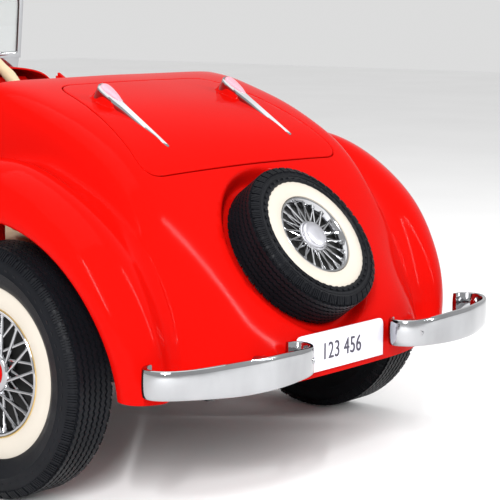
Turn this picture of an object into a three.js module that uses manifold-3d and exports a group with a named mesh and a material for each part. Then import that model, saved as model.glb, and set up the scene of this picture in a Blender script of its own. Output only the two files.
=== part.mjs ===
// Child's pedal car in the style of a long-tailed roadster.
// Millimetres, +X forward, +Y to the driver's left, +Z up; the tyres stand on z = 0 and the
// origin is under the middle of the car. Inside the file the shapes are drawn in the "car
// frame", whose x = 0 is the rear axle; the outermost group moves them to the middle.
import * as THREE from "three";
import { mergeVertices } from "three/addons/utils/BufferGeometryUtils.js";
import Module from "manifold-3d";

const wasm = await Module();
wasm.setup();

// ---------------------------------------------------------------- driving dimensions
const WHEELBASE = 740;            // rear axle to front axle
const REAR_OVERHANG = 290;        // rear axle to the rear face of the rear bumpers
const FRONT_OVERHANG = 235;       // front axle to the front face of the front bumper
const TYRE_RADIUS = 140;
const TYRE_WIDTH = 64;
const TRACK = 572;                // between the middles of the two tyres of an axle
const BODY_HALF_WIDTH = 216;      // outer face of the body's flat sides
const WALL = 3;                   // moulded body skin
const FIT = 0.4;                  // gap left between two pieces that touch
const ARCH_GAP = 24;              // tyre to the edge of the wheel arch
const AXLE_RADIUS = 7;
const RIM_RADIUS = 95;            // wheel disc that fills the tyre's hole
const HUB_RADIUS = 17;
const CAP_RADIUS = 19;
const SPARE_RADIUS = 92;
const SPARE_WIDTH = 52;
const SPARE_RIM_RADIUS = 50;
const SPARE_TILT = 36.7;          // degrees between the spare's axis and the horizontal
const DISH_MARGIN = 4;            // flat floor of the spare's recess beyond the tyre
const DISH_WALL = 15;             // width of the recess's sloping wall
const PLATE_HALF_WIDTH = 80;
const PLATE_HEIGHT = 44;
const BUMPER_HEIGHT = 34;
const BUMPER_THICKNESS = 5;
const BUMPER_TOP = 175;
const CRANK_THROW = 70;
const CRANK_BEHIND_AXLE = 220;    // pedal crank, behind the front axle
const PEDAL_CLEARANCE = 18;       // chassis rail to the lower pedal's pin
const CHAINRING_RADIUS = 40;      // pitch radii of the two chain wheels
const SPROCKET_RADIUS = 24;
const CHAIN_WIDTH = 8;
const KINGPIN_Y = 226;
const STEERING_ARM = 60;
const COLUMN_RADIUS = 7;
const STEERING_WHEEL_RADIUS = 105;
const WINDSCREEN_TOP = 560;
const COWL_LENGTH = 130;
const BONNET_LENGTH = 284;
const NOSE_AHEAD = 106;           // front axle to the front end of the bonnet
const RAIL_TOP = 120;
const RAIL_HEIGHT = 24;
const RAIL_WIDTH = 24;
const RAIL_Y = 108;               // middle of each chassis rail
const FLOOR_THICKNESS = 3;

const CRANK_Z = RAIL_TOP + PEDAL_CLEARANCE + CRANK_THROW;
const WHEEL_Y = TRACK / 2;
const SPARE_CENTRE = [-209, 0, 279];

// ---------------------------------------------------------------- finishes
const finish = (color, roughness, metalness, more = {}) =>
  new THREE.MeshStandardMaterial({ color, roughness, metalness, ...more });
const red = finish(0xf5120c, 0.18, 0);
const chrome = finish(0xe2e4e8, 0.08, 1);
const satin = finish(0xb9bcc0, 0.35, 1);
const rubber = finish(0x17181a, 0.85, 0);
const black = finish(0x1b1c1f, 0.6, 0);
const steel = finish(0x55585d, 0.45, 0.9);
const cream = finish(0xcbb892, 0.6, 0);
const lens = finish(0xe9a6b4, 0.1, 0, { transparent: true, opacity: 0.7 });
const glass = finish(0xe4eef0, 0.05, 0, { transparent: true, opacity: 0.35 });
const plateWhite = finish(0xdedbe6, 0.35, 0);

// ---------------------------------------------------------------- solids and booleans
const rad = THREE.MathUtils.degToRad;

function closed(geometry) {
  const plain = geometry.index ? geometry.toNonIndexed() : geometry.clone();
  for (const name of Object.keys(plain.attributes)) if (name !== "position") plain.deleteAttribute(name);
  return mergeVertices(plain, 1e-3);
}

function solidOf(geometry) {
  const g = closed(geometry);
  const mesh = new wasm.Mesh({
    numProp: 3,
    vertProperties: new Float32Array(g.attributes.position.array),
    triVerts: new Uint32Array(g.index.array),
  });
  return new wasm.Manifold(mesh);
}

function geometryOf(solid) {
  const mesh = solid.getMesh();
  const g = new THREE.BufferGeometry();
  g.setAttribute("position", new THREE.BufferAttribute(new Float32Array(mesh.vertProperties), 3));
  g.setIndex(new THREE.BufferAttribute(new Uint32Array(mesh.triVerts), 1));
  return g;
}

const join = (...list) => geometryOf(list.map(solidOf).reduce((a, b) => a.add(b)));
const cut = (base, ...tools) => geometryOf(tools.map(solidOf).reduce((a, b) => a.subtract(b), solidOf(base)));
const common = (a, b) => geometryOf(solidOf(a).intersect(solidOf(b)));

const moved = (g, x = 0, y = 0, z = 0) => g.clone().translate(x, y, z);
const mirroredY = (g) => {
  const copy = closed(g.clone().scale(1, -1, 1));
  const order = copy.index.array;
  for (let i = 0; i < order.length; i += 3) [order[i], order[i + 1]] = [order[i + 1], order[i]];
  return copy;
};

function box(x0, x1, y0, y1, z0, z1) {
  return new THREE.BoxGeometry(x1 - x0, y1 - y0, z1 - z0)
    .translate((x0 + x1) / 2, (y0 + y1) / 2, (z0 + z1) / 2);
}

// A cylinder between two points.
function rod(from, to, radius, sides = 12) {
  const a = new THREE.Vector3(...from);
  const b = new THREE.Vector3(...to);
  const g = new THREE.CylinderGeometry(radius, radius, a.distanceTo(b), sides);
  g.applyQuaternion(new THREE.Quaternion().setFromUnitVectors(
    new THREE.Vector3(0, 1, 0), b.clone().sub(a).normalize()));
  return g.translate(...a.add(b).multiplyScalar(0.5).toArray());
}

// An [x, z] outline, given thickness along Y from y0 to y1.
const ring = (points, clockwise) => {
  const list = points.map(([x, y]) => new THREE.Vector2(x, y));
  return THREE.ShapeUtils.isClockWise(list) === clockwise ? list : list.reverse();
};
function plateXZ(points, y0, y1, holes = []) {
  const shape = new THREE.Shape(ring(points, false));
  shape.holes = holes.map((hole) => new THREE.Path(ring(hole, true)));
  return new THREE.ExtrudeGeometry(shape, { depth: y1 - y0, bevelEnabled: false })
    .applyMatrix4(new THREE.Matrix4().makeBasis(
      new THREE.Vector3(1, 0, 0), new THREE.Vector3(0, 0, 1), new THREE.Vector3(0, -1, 0)))
    .translate(0, y1, 0);
}

// A ring or disc turned about the Y axis from a [radius, y] profile, closed where it isn't
// on the axis.
function turned(profile, sides) {
  const onAxis = profile[0][0] === 0 && profile[profile.length - 1][0] === 0;
  const loop = onAxis ? profile : [...profile, profile[0]];
  const g = new THREE.LatheGeometry(loop.map(([r, y]) => new THREE.Vector2(r, y)), sides).toNonIndexed();
  return signedVolume(g) < 0 ? flipped(g) : g;
}

// ---------------------------------------------------------------- smooth curves
// Natural cubic spline through [position, value] pairs.
function spline(pairs) {
  const n = pairs.length;
  const xs = pairs.map((p) => p[0]);
  const ys = pairs.map((p) => p[1]);
  const h = xs.slice(1).map((x, i) => x - xs[i]);
  const bend = new Array(n).fill(0);
  const share = new Array(n).fill(0);
  for (let i = 1; i < n - 1; i++) {
    const pull = 6 * ((ys[i + 1] - ys[i]) / h[i] - (ys[i] - ys[i - 1]) / h[i - 1]);
    const pivot = 2 * (h[i - 1] + h[i]) - h[i - 1] * share[i - 1];
    share[i] = h[i] / pivot;
    bend[i] = (pull - h[i - 1] * bend[i - 1]) / pivot;
  }
  for (let i = n - 2; i > 0; i--) bend[i] -= share[i] * bend[i + 1];
  return (x) => {
    let i = 0;
    while (i < n - 2 && x > xs[i + 1]) i++;
    const a = (xs[i + 1] - x) / h[i];
    const b = (x - xs[i]) / h[i];
    return a * ys[i] + b * ys[i + 1] + ((a ** 3 - a) * bend[i] + (b ** 3 - b) * bend[i + 1]) * h[i] ** 2 / 6;
  };
}

// Point of a cubic B-spline with its ends held, t from 0 to 1.
function bspline(points, t) {
  const n = points.length;
  const spans = n - 3;
  const u = Math.min(t * spans, spans - 1e-9);
  const knot = (i) => Math.min(Math.max(i - 3, 0), spans);
  const k = Math.floor(u) + 3;
  const d = points.slice(k - 3, k + 1).map((p) => [...p]);
  for (let level = 1; level <= 3; level++) {
    for (let j = 3; j >= level; j--) {
      const low = knot(k - 3 + j);
      const high = knot(k + 1 + j - level);
      const s = high > low ? (u - low) / (high - low) : 0;
      d[j] = d[j].map((value, axis) => (1 - s) * d[j - 1][axis] + s * value);
    }
  }
  return d[3];
}

const smoothstep = (x) => { const t = Math.min(Math.max(x, 0), 1); return t * t * (3 - 2 * t); };

// A skin of even thickness from a grid of points on its outer face: at(i, j), with i running
// forward from 0 to ni and j from the left to the right, and keep(i, j) says which cells belong.
function skin(at, ni, nj, thickness, keep = () => true) {
  const outer = [];
  for (let i = 0; i <= ni; i++) outer.push(Array.from({ length: nj + 1 }, (_, j) => new THREE.Vector3(...at(i, j))));
  const clampI = (i) => Math.min(Math.max(i, 0), ni);
  const clampJ = (j) => Math.min(Math.max(j, 0), nj);
  const inner = outer.map((row, i) => row.map((p, j) => {
    const du = outer[clampI(i + 1)][j].clone().sub(outer[clampI(i - 1)][j]);
    const dv = outer[i][clampJ(j + 1)].clone().sub(outer[i][clampJ(j - 1)]);
    return p.clone().addScaledVector(dv.cross(du).normalize(), -thickness);
  }));
  const corners = [];
  const quad = (a, b, c, d) => corners.push(a, b, c, a, c, d);
  const has = (i, j) => i >= 0 && j >= 0 && i < ni && j < nj && keep(i, j);
  for (let i = 0; i < ni; i++) for (let j = 0; j < nj; j++) {
    if (!has(i, j)) continue;
    const o = [outer[i][j], outer[i + 1][j], outer[i + 1][j + 1], outer[i][j + 1]];
    const q = [inner[i][j], inner[i + 1][j], inner[i + 1][j + 1], inner[i][j + 1]];
    quad(...o);
    quad(q[3], q[2], q[1], q[0]);
    if (!has(i, j - 1)) quad(o[1], o[0], q[0], q[1]);
    if (!has(i + 1, j)) quad(o[2], o[1], q[1], q[2]);
    if (!has(i, j + 1)) quad(o[3], o[2], q[2], q[3]);
    if (!has(i - 1, j)) quad(o[0], o[3], q[3], q[0]);
  }
  const g = new THREE.BufferGeometry().setFromPoints(corners);
  return signedVolume(g) < 0 ? flipped(g) : g;
}

function signedVolume(g) {
  const p = g.attributes.position;
  const [a, b, c] = [new THREE.Vector3(), new THREE.Vector3(), new THREE.Vector3()];
  let sum = 0;
  for (let i = 0; i < p.count; i += 3) {
    sum += a.fromBufferAttribute(p, i).dot(b.fromBufferAttribute(p, i + 1).cross(c.fromBufferAttribute(p, i + 2)));
  }
  return sum / 6;
}

function flipped(g) {
  const p = g.attributes.position.array;
  for (let i = 0; i < p.length; i += 9) {
    for (let k = 0; k < 3; k++) [p[i + k], p[i + 3 + k]] = [p[i + 3 + k], p[i + k]];
  }
  return g;
}

// ---------------------------------------------------------------- rear body surface
// Every section is drawn on a half plane that turns about the rear axle: 184 degrees points
// back at the lower edge of the tail, 90 points up, 0 points forward at the running board.
// Radii of the section's rails, by angle.
const ARCH_RADIUS = TYRE_RADIUS + ARCH_GAP;
const TAIL_END = 184;
const RIM_ANGLE = 70;
const FENDER_END = -4;
const rails = {
  centre: spline([[70, 327], [80, 299], [90, 279], [100, 264], [110, 251], [120, 236], [135, 219],
    [150, 217], [165, 231], [174, 242], [184, 240]]),
  deck: spline([[70, 327], [80, 298], [90, 277], [100, 261], [110, 248], [120, 234], [135, 217],
    [150, 213], [165, 226], [174, 238], [184, 238]]),
  shoulder: spline([[70, 325], [80, 296], [90, 274], [100, 257], [110, 244], [120, 230], [135, 209],
    [150, 198], [165, 200], [174, 208], [184, 214]]),
  sideTop: spline([[-4, 192], [20, 197], [45, 214], [70, 306], [80, 278], [90, 256], [100, 240], [110, 229], [120, 217], [135, 203],
    [150, 195], [165, 196], [184, 203]]),
  valley: spline([[-4, 186], [20, 190], [45, 200], [70, 226], [80, 222], [90, 218], [100, 210], [110, 205],
    [120, 203], [135, 200], [150, 197], [165, 196], [184, 200]]),
  crown: spline([[-4, 194], [20, 200], [45, 212], [70, 232], [90, 229], [110, 216], [120, 211], [135, 207],
    [150, 204], [165, 205], [184, 204]]),
};
// How far out the fender stands, by angle.
const fenderOut = spline([[-4, 306], [45, 312], [90, 314], [120, 312], [150, 303], [170, 292], [184, 284]]);

function rearSection(angle) {
  const r = Object.fromEntries(Object.entries(rails).map(([name, rail]) => [name, rail(angle)]));
  const out = fenderOut(angle);
  const side = BODY_HALF_WIDTH;
  const half = [
    [out - 15, ARCH_RADIUS + 2],
    [out - 4, ARCH_RADIUS - 1],
    [out + 1, ARCH_RADIUS + 8],
    [out + 1, (ARCH_RADIUS + r.crown) / 2],
    [out - 6, r.crown - 8],
    [(out + side) / 2, r.crown + 4],
    [side + 22, r.valley],
    [side + 2, r.valley],
    [side - 2, (r.valley + r.sideTop) / 2],
    [side - 4, r.sideTop],
    [side - 14, r.shoulder],
    [side - 60, r.deck],
    [side / 3, r.centre],
  ];
  const other = half.map(([y, radius]) => [-y, radius]).reverse();
  return [...half, [0, r.centre + 1], ...other];
}

function rearPoint(angle, t) {
  const [y, r] = bspline(rearSection(angle), t);
  const a = rad(angle);
  return [r * Math.cos(a), y, TYRE_RADIUS + r * Math.sin(a)];
}

const TAIL_STEPS = 14;
const FENDER_STEPS = 5;
const SECTION_STEPS = 32;
const FENDER_SHARE = 8;          // cells of a section that belong to a fender
function tailSkin(thickness, keep) {
  const angleAt = (i) => (i <= TAIL_STEPS
    ? TAIL_END + (RIM_ANGLE - TAIL_END) * i / TAIL_STEPS
    : RIM_ANGLE + (FENDER_END - RIM_ANGLE) * (i - TAIL_STEPS) / FENDER_STEPS);
  return skin((i, j) => rearPoint(angleAt(i), j / SECTION_STEPS), TAIL_STEPS + FENDER_STEPS,
    SECTION_STEPS, thickness, keep);
}
const onFender = (i, j) => j < FENDER_SHARE || j >= SECTION_STEPS - FENDER_SHARE;
const onTail = (i) => i < TAIL_STEPS;

// The boot lid's outline lies on a plane square to the deck, with rounded corners.
const LID = { top: [78, 440], bottom: [-110, 347], topHalf: 132, bottomHalf: 176, corner: 30 };
function lidBlock(grow) {
  const down = new THREE.Vector3(LID.bottom[0] - LID.top[0], 0, LID.bottom[1] - LID.top[1]);
  const length = down.length();
  down.normalize();
  const c = LID.corner + grow;
  const [a, b] = [LID.topHalf + grow, LID.bottomHalf + grow];
  const [s0, s1] = [-grow, length + grow];
  const lean = (b - a) / (s1 - s0);
  const shape = new THREE.Shape();
  shape.moveTo(s0, 0);
  shape.lineTo(s0, a - c);
  shape.quadraticCurveTo(s0, a, s0 + c, a + c * lean);
  shape.lineTo(s1 - c, b - c * lean);
  shape.quadraticCurveTo(s1, b, s1, b - c);
  shape.lineTo(s1, c - b);
  shape.quadraticCurveTo(s1, -b, s1 - c, c * lean - b);
  shape.lineTo(s0 + c, -a - c * lean);
  shape.quadraticCurveTo(s0, -a, s0, c - a);
  const g = new THREE.ExtrudeGeometry(shape, { depth: 120, bevelEnabled: false, curveSegments: 5 });
  g.translate(0, 0, -60);
  g.applyMatrix4(new THREE.Matrix4().makeBasis(down, new THREE.Vector3(0, 1, 0),
    new THREE.Vector3().crossVectors(down, new THREE.Vector3(0, 1, 0))));
  return g.translate(LID.top[0], 0, LID.top[1]);
}

// The part of the tail under the lid and round the spare wheel, as a thick slab whose
// outer face is the skin's: it trims what stands on the skin or is sunk in it.
const tailSlab = tailSkin(75, (i, j) => onTail(i) && j > 9 && j < SECTION_STEPS - 10);

// ---------------------------------------------------------------- the spare wheel's own frame
// Local +Y runs along the spare's axis, outwards; the origin is the middle of its outer face.
const spareAxis = new THREE.Vector3(-Math.cos(rad(SPARE_TILT)), 0, Math.sin(rad(SPARE_TILT)));
const spareFrame = new THREE.Matrix4().makeBasis(
  new THREE.Vector3().crossVectors(spareAxis, new THREE.Vector3(0, 1, 0)), spareAxis,
  new THREE.Vector3(0, 1, 0)).setPosition(...SPARE_CENTRE);
if (spareFrame.determinant() < 0) throw new Error("the spare's frame is left-handed");
const onSpare = (g) => g.applyMatrix4(spareFrame);

const RECESS_RADIUS = SPARE_RADIUS + DISH_MARGIN + DISH_WALL / 2;
const recessHole = onSpare(new THREE.CylinderGeometry(RECESS_RADIUS + WALL / 2, RECESS_RADIUS + WALL / 2, 160, 32)
  .translate(0, -40, 0));
const recessFloor = -SPARE_WIDTH - FIT;
const recessCup = onSpare(turned([[0, recessFloor - WALL], [RECESS_RADIUS + WALL, recessFloor - WALL],
  [RECESS_RADIUS + WALL, 30], [RECESS_RADIUS, 30], [RECESS_RADIUS, recessFloor], [0, recessFloor]], 32));

const fullTail = tailSkin(WALL, (i, j) => onTail(i) || onFender(i, j));
const LID_GAP = 1;
const tailWithRecess = join(cut(fullTail, recessHole), common(recessCup, tailSlab));
const tailBody = cut(tailWithRecess, lidBlock(LID_GAP));
const trunkLid = common(fullTail, lidBlock(0));

// ---------------------------------------------------------------- assembly helpers
const root = new THREE.Group();
root.position.x = -(WHEELBASE + FRONT_OVERHANG - REAR_OVERHANG) / 2;
function add(name, geometry, material) {
  const mesh = new THREE.Mesh(closed(geometry), material);
  mesh.name = name;
  root.add(mesh);
  return mesh;
}
function addPair(name, geometry, material) {
  add(`${name}_left`, geometry, material);
  add(`${name}_right`, mirroredY(geometry), material);
}

add("tail_body", tailBody, red);
add("trunk_lid", trunkLid, red);

// ---------------------------------------------------------------- spare wheel
const spareTyre = onSpare(turned([[SPARE_RIM_RADIUS, -SPARE_WIDTH + 6], [72, -SPARE_WIDTH], [85, -SPARE_WIDTH],
  [SPARE_RADIUS - 1, -SPARE_WIDTH + 12], [SPARE_RADIUS, -SPARE_WIDTH / 2], [SPARE_RADIUS - 2, -14],
  [86, -2], [72, 0], [SPARE_RIM_RADIUS, -3]], 22));
add("spare_tyre", spareTyre, rubber);
const spareHole = SPARE_RIM_RADIUS - FIT;
add("spare_wheel", onSpare(turned([[0, -30], [spareHole, -30], [spareHole, -3], [spareHole - 4, -2],
  [spareHole - 7, -12], [18, -12], [18, -18], [0, -18]], 22)), chrome);
add("spare_cap", onSpare(turned([[0, -18 + FIT], [16, -18 + FIT], [17, -8], [15, -4], [9, -2], [0, -1.5]], 24)), satin);

// ---------------------------------------------------------------- road wheels
const bore = AXLE_RADIUS + FIT;
const half = TYRE_WIDTH / 2;
const tyreShape = turned([[RIM_RADIUS, -half + 8], [110, -half + 1], [126, -half], [TYRE_RADIUS - 3, -half + 7],
  [TYRE_RADIUS, -12], [TYRE_RADIUS, 12], [TYRE_RADIUS - 3, half - 7], [126, half], [104, half - 4],
  [RIM_RADIUS, half - 9]], 22);
const rim = RIM_RADIUS - FIT;
const wheelShape = turned([[bore, -24], [HUB_RADIUS, -24], [HUB_RADIUS, 4], [80, 4], [84, -22], [rim, -22],
  [rim, 22], [rim - 5, 22], [rim - 10, 11], [HUB_RADIUS, 11], [HUB_RADIUS, 20], [bore, 20]], 22);
const capShape = turned([[0, 31], [11, 30], [CAP_RADIUS, 24], [CAP_RADIUS, 20 + FIT], [AXLE_RADIUS + 2, 20 + FIT],
  [AXLE_RADIUS + 2, 26], [0, 26]], 14);
for (const [end, x] of [["rear", 0], ["front", WHEELBASE]]) {
  for (const [side, sign] of [["left", 1], ["right", -1]]) {
    const place = (g) => moved(sign > 0 ? g : mirroredY(g), x, sign * WHEEL_Y, TYRE_RADIUS);
    add(`tyre_${end}_${side}`, place(tyreShape), rubber);
    add(`wheel_${end}_${side}`, place(wheelShape), chrome);
    add(`hub_cap_${end}_${side}`, place(capShape), red);
  }
}

// ---------------------------------------------------------------- chassis
const railBottom = RAIL_TOP - RAIL_HEIGHT;
const rearEnd = -150;
const frontEnd = WHEELBASE + FRONT_OVERHANG - 25;
const tubZone = { rear: 118, front: WHEELBASE - 150 };
const BOOT_FLOOR = 196;
const bearing = { half: 14, top: TYRE_RADIUS + 22 };
const bearings = [1, -1].map((s) => box(-bearing.half, bearing.half, s * RAIL_Y - 10, s * RAIL_Y + 10,
  RAIL_TOP - 1, BOOT_FLOOR + 1));
const SEAT_Z = CRANK_Z + 18;        // clear of the chain
const seatPosts = [1, -1].map((s) => box(135, 330, s * RAIL_Y - 3, s * RAIL_Y + 3, RAIL_TOP - 1, SEAT_Z - FIT));
const chassis = join(
  box(rearEnd, frontEnd - 12, RAIL_Y - RAIL_WIDTH / 2, RAIL_Y + RAIL_WIDTH / 2, railBottom, RAIL_TOP),
  box(rearEnd, frontEnd - 12, -RAIL_Y - RAIL_WIDTH / 2, -RAIL_Y + RAIL_WIDTH / 2, railBottom, RAIL_TOP),
  box(rearEnd, rearEnd + RAIL_WIDTH, -RAIL_Y, RAIL_Y, railBottom, RAIL_TOP),
  box(WHEELBASE + 40, WHEELBASE + 64, -RAIL_Y, RAIL_Y, railBottom, RAIL_TOP),
  box(tubZone.rear, tubZone.front, -BODY_HALF_WIDTH + 14, BODY_HALF_WIDTH - 14, railBottom, railBottom + FLOOR_THICKNESS),
  box(rearEnd + 28, 96, 38 - BODY_HALF_WIDTH, BODY_HALF_WIDTH - 38, BOOT_FLOOR, BOOT_FLOOR + FLOOR_THICKNESS),
  ...bearings, ...seatPosts);
const axleHole = rod([0, -200, TYRE_RADIUS], [0, 200, TYRE_RADIUS], AXLE_RADIUS + FIT, 24);
add("chassis_frame", cut(chassis, axleHole), black);

// ---------------------------------------------------------------- chain drive
const crankX = WHEELBASE - CRANK_BEHIND_AXLE;
add("rear_axle", rod([0, -WHEEL_Y - 24, TYRE_RADIUS], [0, WHEEL_Y + 24, TYRE_RADIUS], AXLE_RADIUS, 20), steel);

function toothedWheel(radius, teeth, holeRadius, width) {
  const shape = new THREE.Shape();
  for (let k = 0; k < teeth * 2; k++) {
    const r = k % 2 ? radius - 2.5 : radius - 0.2;
    const a = Math.PI * k / teeth;
    shape[k ? "lineTo" : "moveTo"](r * Math.cos(a), r * Math.sin(a));
  }
  shape.holes.push(new THREE.Path().absarc(0, 0, holeRadius, 0, Math.PI * 2, true));
  return new THREE.ExtrudeGeometry(shape, { depth: width, bevelEnabled: false, curveSegments: 10 })
    .translate(0, 0, -width / 2).rotateX(Math.PI / 2);
}
const toothWidth = CHAIN_WIDTH - 3;
add("rear_sprocket", moved(toothedWheel(SPROCKET_RADIUS - 3, 12, AXLE_RADIUS + FIT, toothWidth), 0, 0, TYRE_RADIUS), steel);

// The chain is the band between two loops round both wheels.
function chainLoop(grow) {
  const span = Math.hypot(crankX, CRANK_Z - TYRE_RADIUS);
  const [r0, r1] = [SPROCKET_RADIUS + grow, CHAINRING_RADIUS + grow];
  const lean = Math.asin((r1 - r0) / span);
  const path = new THREE.Path();
  path.absarc(0, 0, r0, Math.PI / 2 + lean, 1.5 * Math.PI - lean, false);
  path.absarc(span, 0, r1, 1.5 * Math.PI - lean, Math.PI / 2 + lean, false);
  path.closePath();
  return path;
}
const chainShape = new THREE.Shape(chainLoop(2.5).getPoints(8));
chainShape.holes.push(new THREE.Path(chainLoop(-1.5).getPoints(8)));
const chain = new THREE.ExtrudeGeometry(chainShape, { depth: CHAIN_WIDTH, bevelEnabled: false, curveSegments: 8 })
  .translate(0, 0, -CHAIN_WIDTH / 2).rotateX(Math.PI / 2)
  .rotateY(-Math.atan2(CRANK_Z - TYRE_RADIUS, crankX)).translate(0, 0, TYRE_RADIUS);
add("drive_chain", chain, steel);

const BRACKET_Y = 22;             // middle of each crank bearing plate
const ARM_Y = 34;                 // inner face of each crank arm
const ARM_WIDTH = 7;
const PEDAL_WIDTH = 78;
const PIN_RADIUS = 5;
const arm = (sign) => box(-9, 9, sign > 0 ? ARM_Y : -ARM_Y - ARM_WIDTH, sign > 0 ? ARM_Y + ARM_WIDTH : -ARM_Y,
  sign > 0 ? -CRANK_THROW - 9 : -9, sign > 0 ? 9 : CRANK_THROW + 9);
const pin = (sign) => rod([0, sign * (ARM_Y + 1), -sign * CRANK_THROW],
  [0, sign * (ARM_Y + ARM_WIDTH + PEDAL_WIDTH + 3), -sign * CRANK_THROW], PIN_RADIUS, 16);
const crank = join(rod([0, -ARM_Y - 2, 0], [0, ARM_Y + 2, 0], AXLE_RADIUS, 20), arm(1), arm(-1), pin(1), pin(-1),
  toothedWheel(CHAINRING_RADIUS - 3, 20, AXLE_RADIUS - 1, toothWidth));
add("pedal_crank", moved(crank, crankX, 0, CRANK_Z), chrome);
const bracketPlate = (s) => plateXZ([[crankX - 40, railBottom + FLOOR_THICKNESS - 1], [crankX + 40, railBottom + FLOOR_THICKNESS - 1],
  [crankX + 14, CRANK_Z + 14], [crankX - 14, CRANK_Z + 14]], s * BRACKET_Y - 2, s * BRACKET_Y + 2);
const crankBracket = join(bracketPlate(1), bracketPlate(-1),
  box(crankX - 40, crankX + 40, -BRACKET_Y - 12, BRACKET_Y + 12, railBottom + FLOOR_THICKNESS + FIT,
    railBottom + FLOOR_THICKNESS + 4));
add("crank_bracket", cut(crankBracket,
  box(crankX - 50, crankX + 50, -50, 50, railBottom - 9, railBottom + FLOOR_THICKNESS + FIT),
  rod([crankX, -50, CRANK_Z], [crankX, 50, CRANK_Z], AXLE_RADIUS + FIT, 24)), steel);
const pedalBlock = cut(box(-30, 30, 0, PEDAL_WIDTH - 2, -11, 11), rod([0, -5, 0], [0, PEDAL_WIDTH + 5, 0], PIN_RADIUS + FIT, 20));
add("pedal_left", moved(pedalBlock, crankX, ARM_Y + ARM_WIDTH + 2, CRANK_Z - CRANK_THROW), rubber);
add("pedal_right", moved(mirroredY(pedalBlock), crankX, -ARM_Y - ARM_WIDTH - 2, CRANK_Z + CRANK_THROW), rubber);

// ---------------------------------------------------------------- front axle and steering
const ear = { low: [TYRE_RADIUS - 46, TYRE_RADIUS - 34], high: [TYRE_RADIUS + 34, TYRE_RADIUS + 44], half: 14 };
const beamBottom = RAIL_TOP + FIT;
const beamHalf = KINGPIN_Y - 22;
const frontX = WHEELBASE;
const yoke = (s) => [
  box(frontX - ear.half, frontX + ear.half, Math.min(s * beamHalf, s * (beamHalf + 8)),
    Math.max(s * beamHalf, s * (beamHalf + 8)), ear.low[0], ear.high[1]),
  box(frontX - ear.half, frontX + ear.half, Math.min(s * beamHalf, s * (KINGPIN_Y + 12)),
    Math.max(s * beamHalf, s * (KINGPIN_Y + 12)), ...ear.low),
  box(frontX - ear.half, frontX + ear.half, Math.min(s * beamHalf, s * (KINGPIN_Y + 12)),
    Math.max(s * beamHalf, s * (KINGPIN_Y + 12)), ...ear.high)];
const beam = join(box(frontX - 10, frontX + 10, -beamHalf - 2, beamHalf + 2, beamBottom, beamBottom + 20), ...yoke(1), ...yoke(-1));
const kingpinHole = (s) => rod([frontX, s * KINGPIN_Y, ear.low[0] - 5], [frontX, s * KINGPIN_Y, ear.high[1] + 5], 6 + FIT, 20);
add("front_axle_beam", cut(beam, kingpinHole(1), kingpinHole(-1)), black);
const armZ = RAIL_TOP + 2;
const knuckle = join(
  rod([0, 0, ear.low[1] + FIT - TYRE_RADIUS], [0, 0, ear.high[0] - FIT - TYRE_RADIUS], 11, 20),
  rod([0, 0, ear.low[0] - TYRE_RADIUS], [0, 0, ear.high[1] - TYRE_RADIUS], 6, 20),
  rod([0, 0, 0], [0, WHEEL_Y + 24 - KINGPIN_Y, 0], AXLE_RADIUS, 20),
  box(-STEERING_ARM - 8, 0, -5, 5, armZ - TYRE_RADIUS, armZ + 6 - TYRE_RADIUS));
addPair("steering_knuckle", moved(knuckle, frontX, KINGPIN_Y, TYRE_RADIUS), steel);
const rodZ = armZ + 6 + FIT;
const tieRod = join(rod([frontX - STEERING_ARM, -KINGPIN_Y, rodZ + 6], [frontX - STEERING_ARM, KINGPIN_Y, rodZ + 6], 5, 12),
  rod([frontX - STEERING_ARM, -KINGPIN_Y, rodZ], [frontX - STEERING_ARM, -KINGPIN_Y, rodZ + 12], 9, 16),
  rod([frontX - STEERING_ARM, KINGPIN_Y, rodZ], [frontX - STEERING_ARM, KINGPIN_Y, rodZ + 12], 9, 16));
add("tie_rod", tieRod, steel);

const COLUMN = { low: [frontX - 88, 0, 178], high: [frontX - 345, 0, 414] };
const columnDir = new THREE.Vector3(...COLUMN.high).sub(new THREE.Vector3(...COLUMN.low)).normalize();
add("steering_column", rod(COLUMN.low, COLUMN.high, COLUMN_RADIUS, 16), chrome);
const spoke = (k) => rod([0, 0, 0], [Math.cos(rad(k)) * (STEERING_WHEEL_RADIUS - 3), 0, Math.sin(rad(k)) * (STEERING_WHEEL_RADIUS - 3)], 5, 8);
const wheelRing = new THREE.TorusGeometry(STEERING_WHEEL_RADIUS, 9, 6, 20).rotateX(Math.PI / 2);
const hubBlock = turned([[0, -9], [22, -9], [22, 4], [14, 10], [0, 12]], 20);
const steeringWheel = join(wheelRing, hubBlock, spoke(90), spoke(-30), spoke(210))
  .applyQuaternion(new THREE.Quaternion().setFromUnitVectors(new THREE.Vector3(0, 1, 0), columnDir));
const wheelSeat = new THREE.Vector3(...COLUMN.high).addScaledVector(columnDir, 9 + FIT);
add("steering_wheel", moved(steeringWheel, ...wheelSeat.toArray()), cream);

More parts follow.
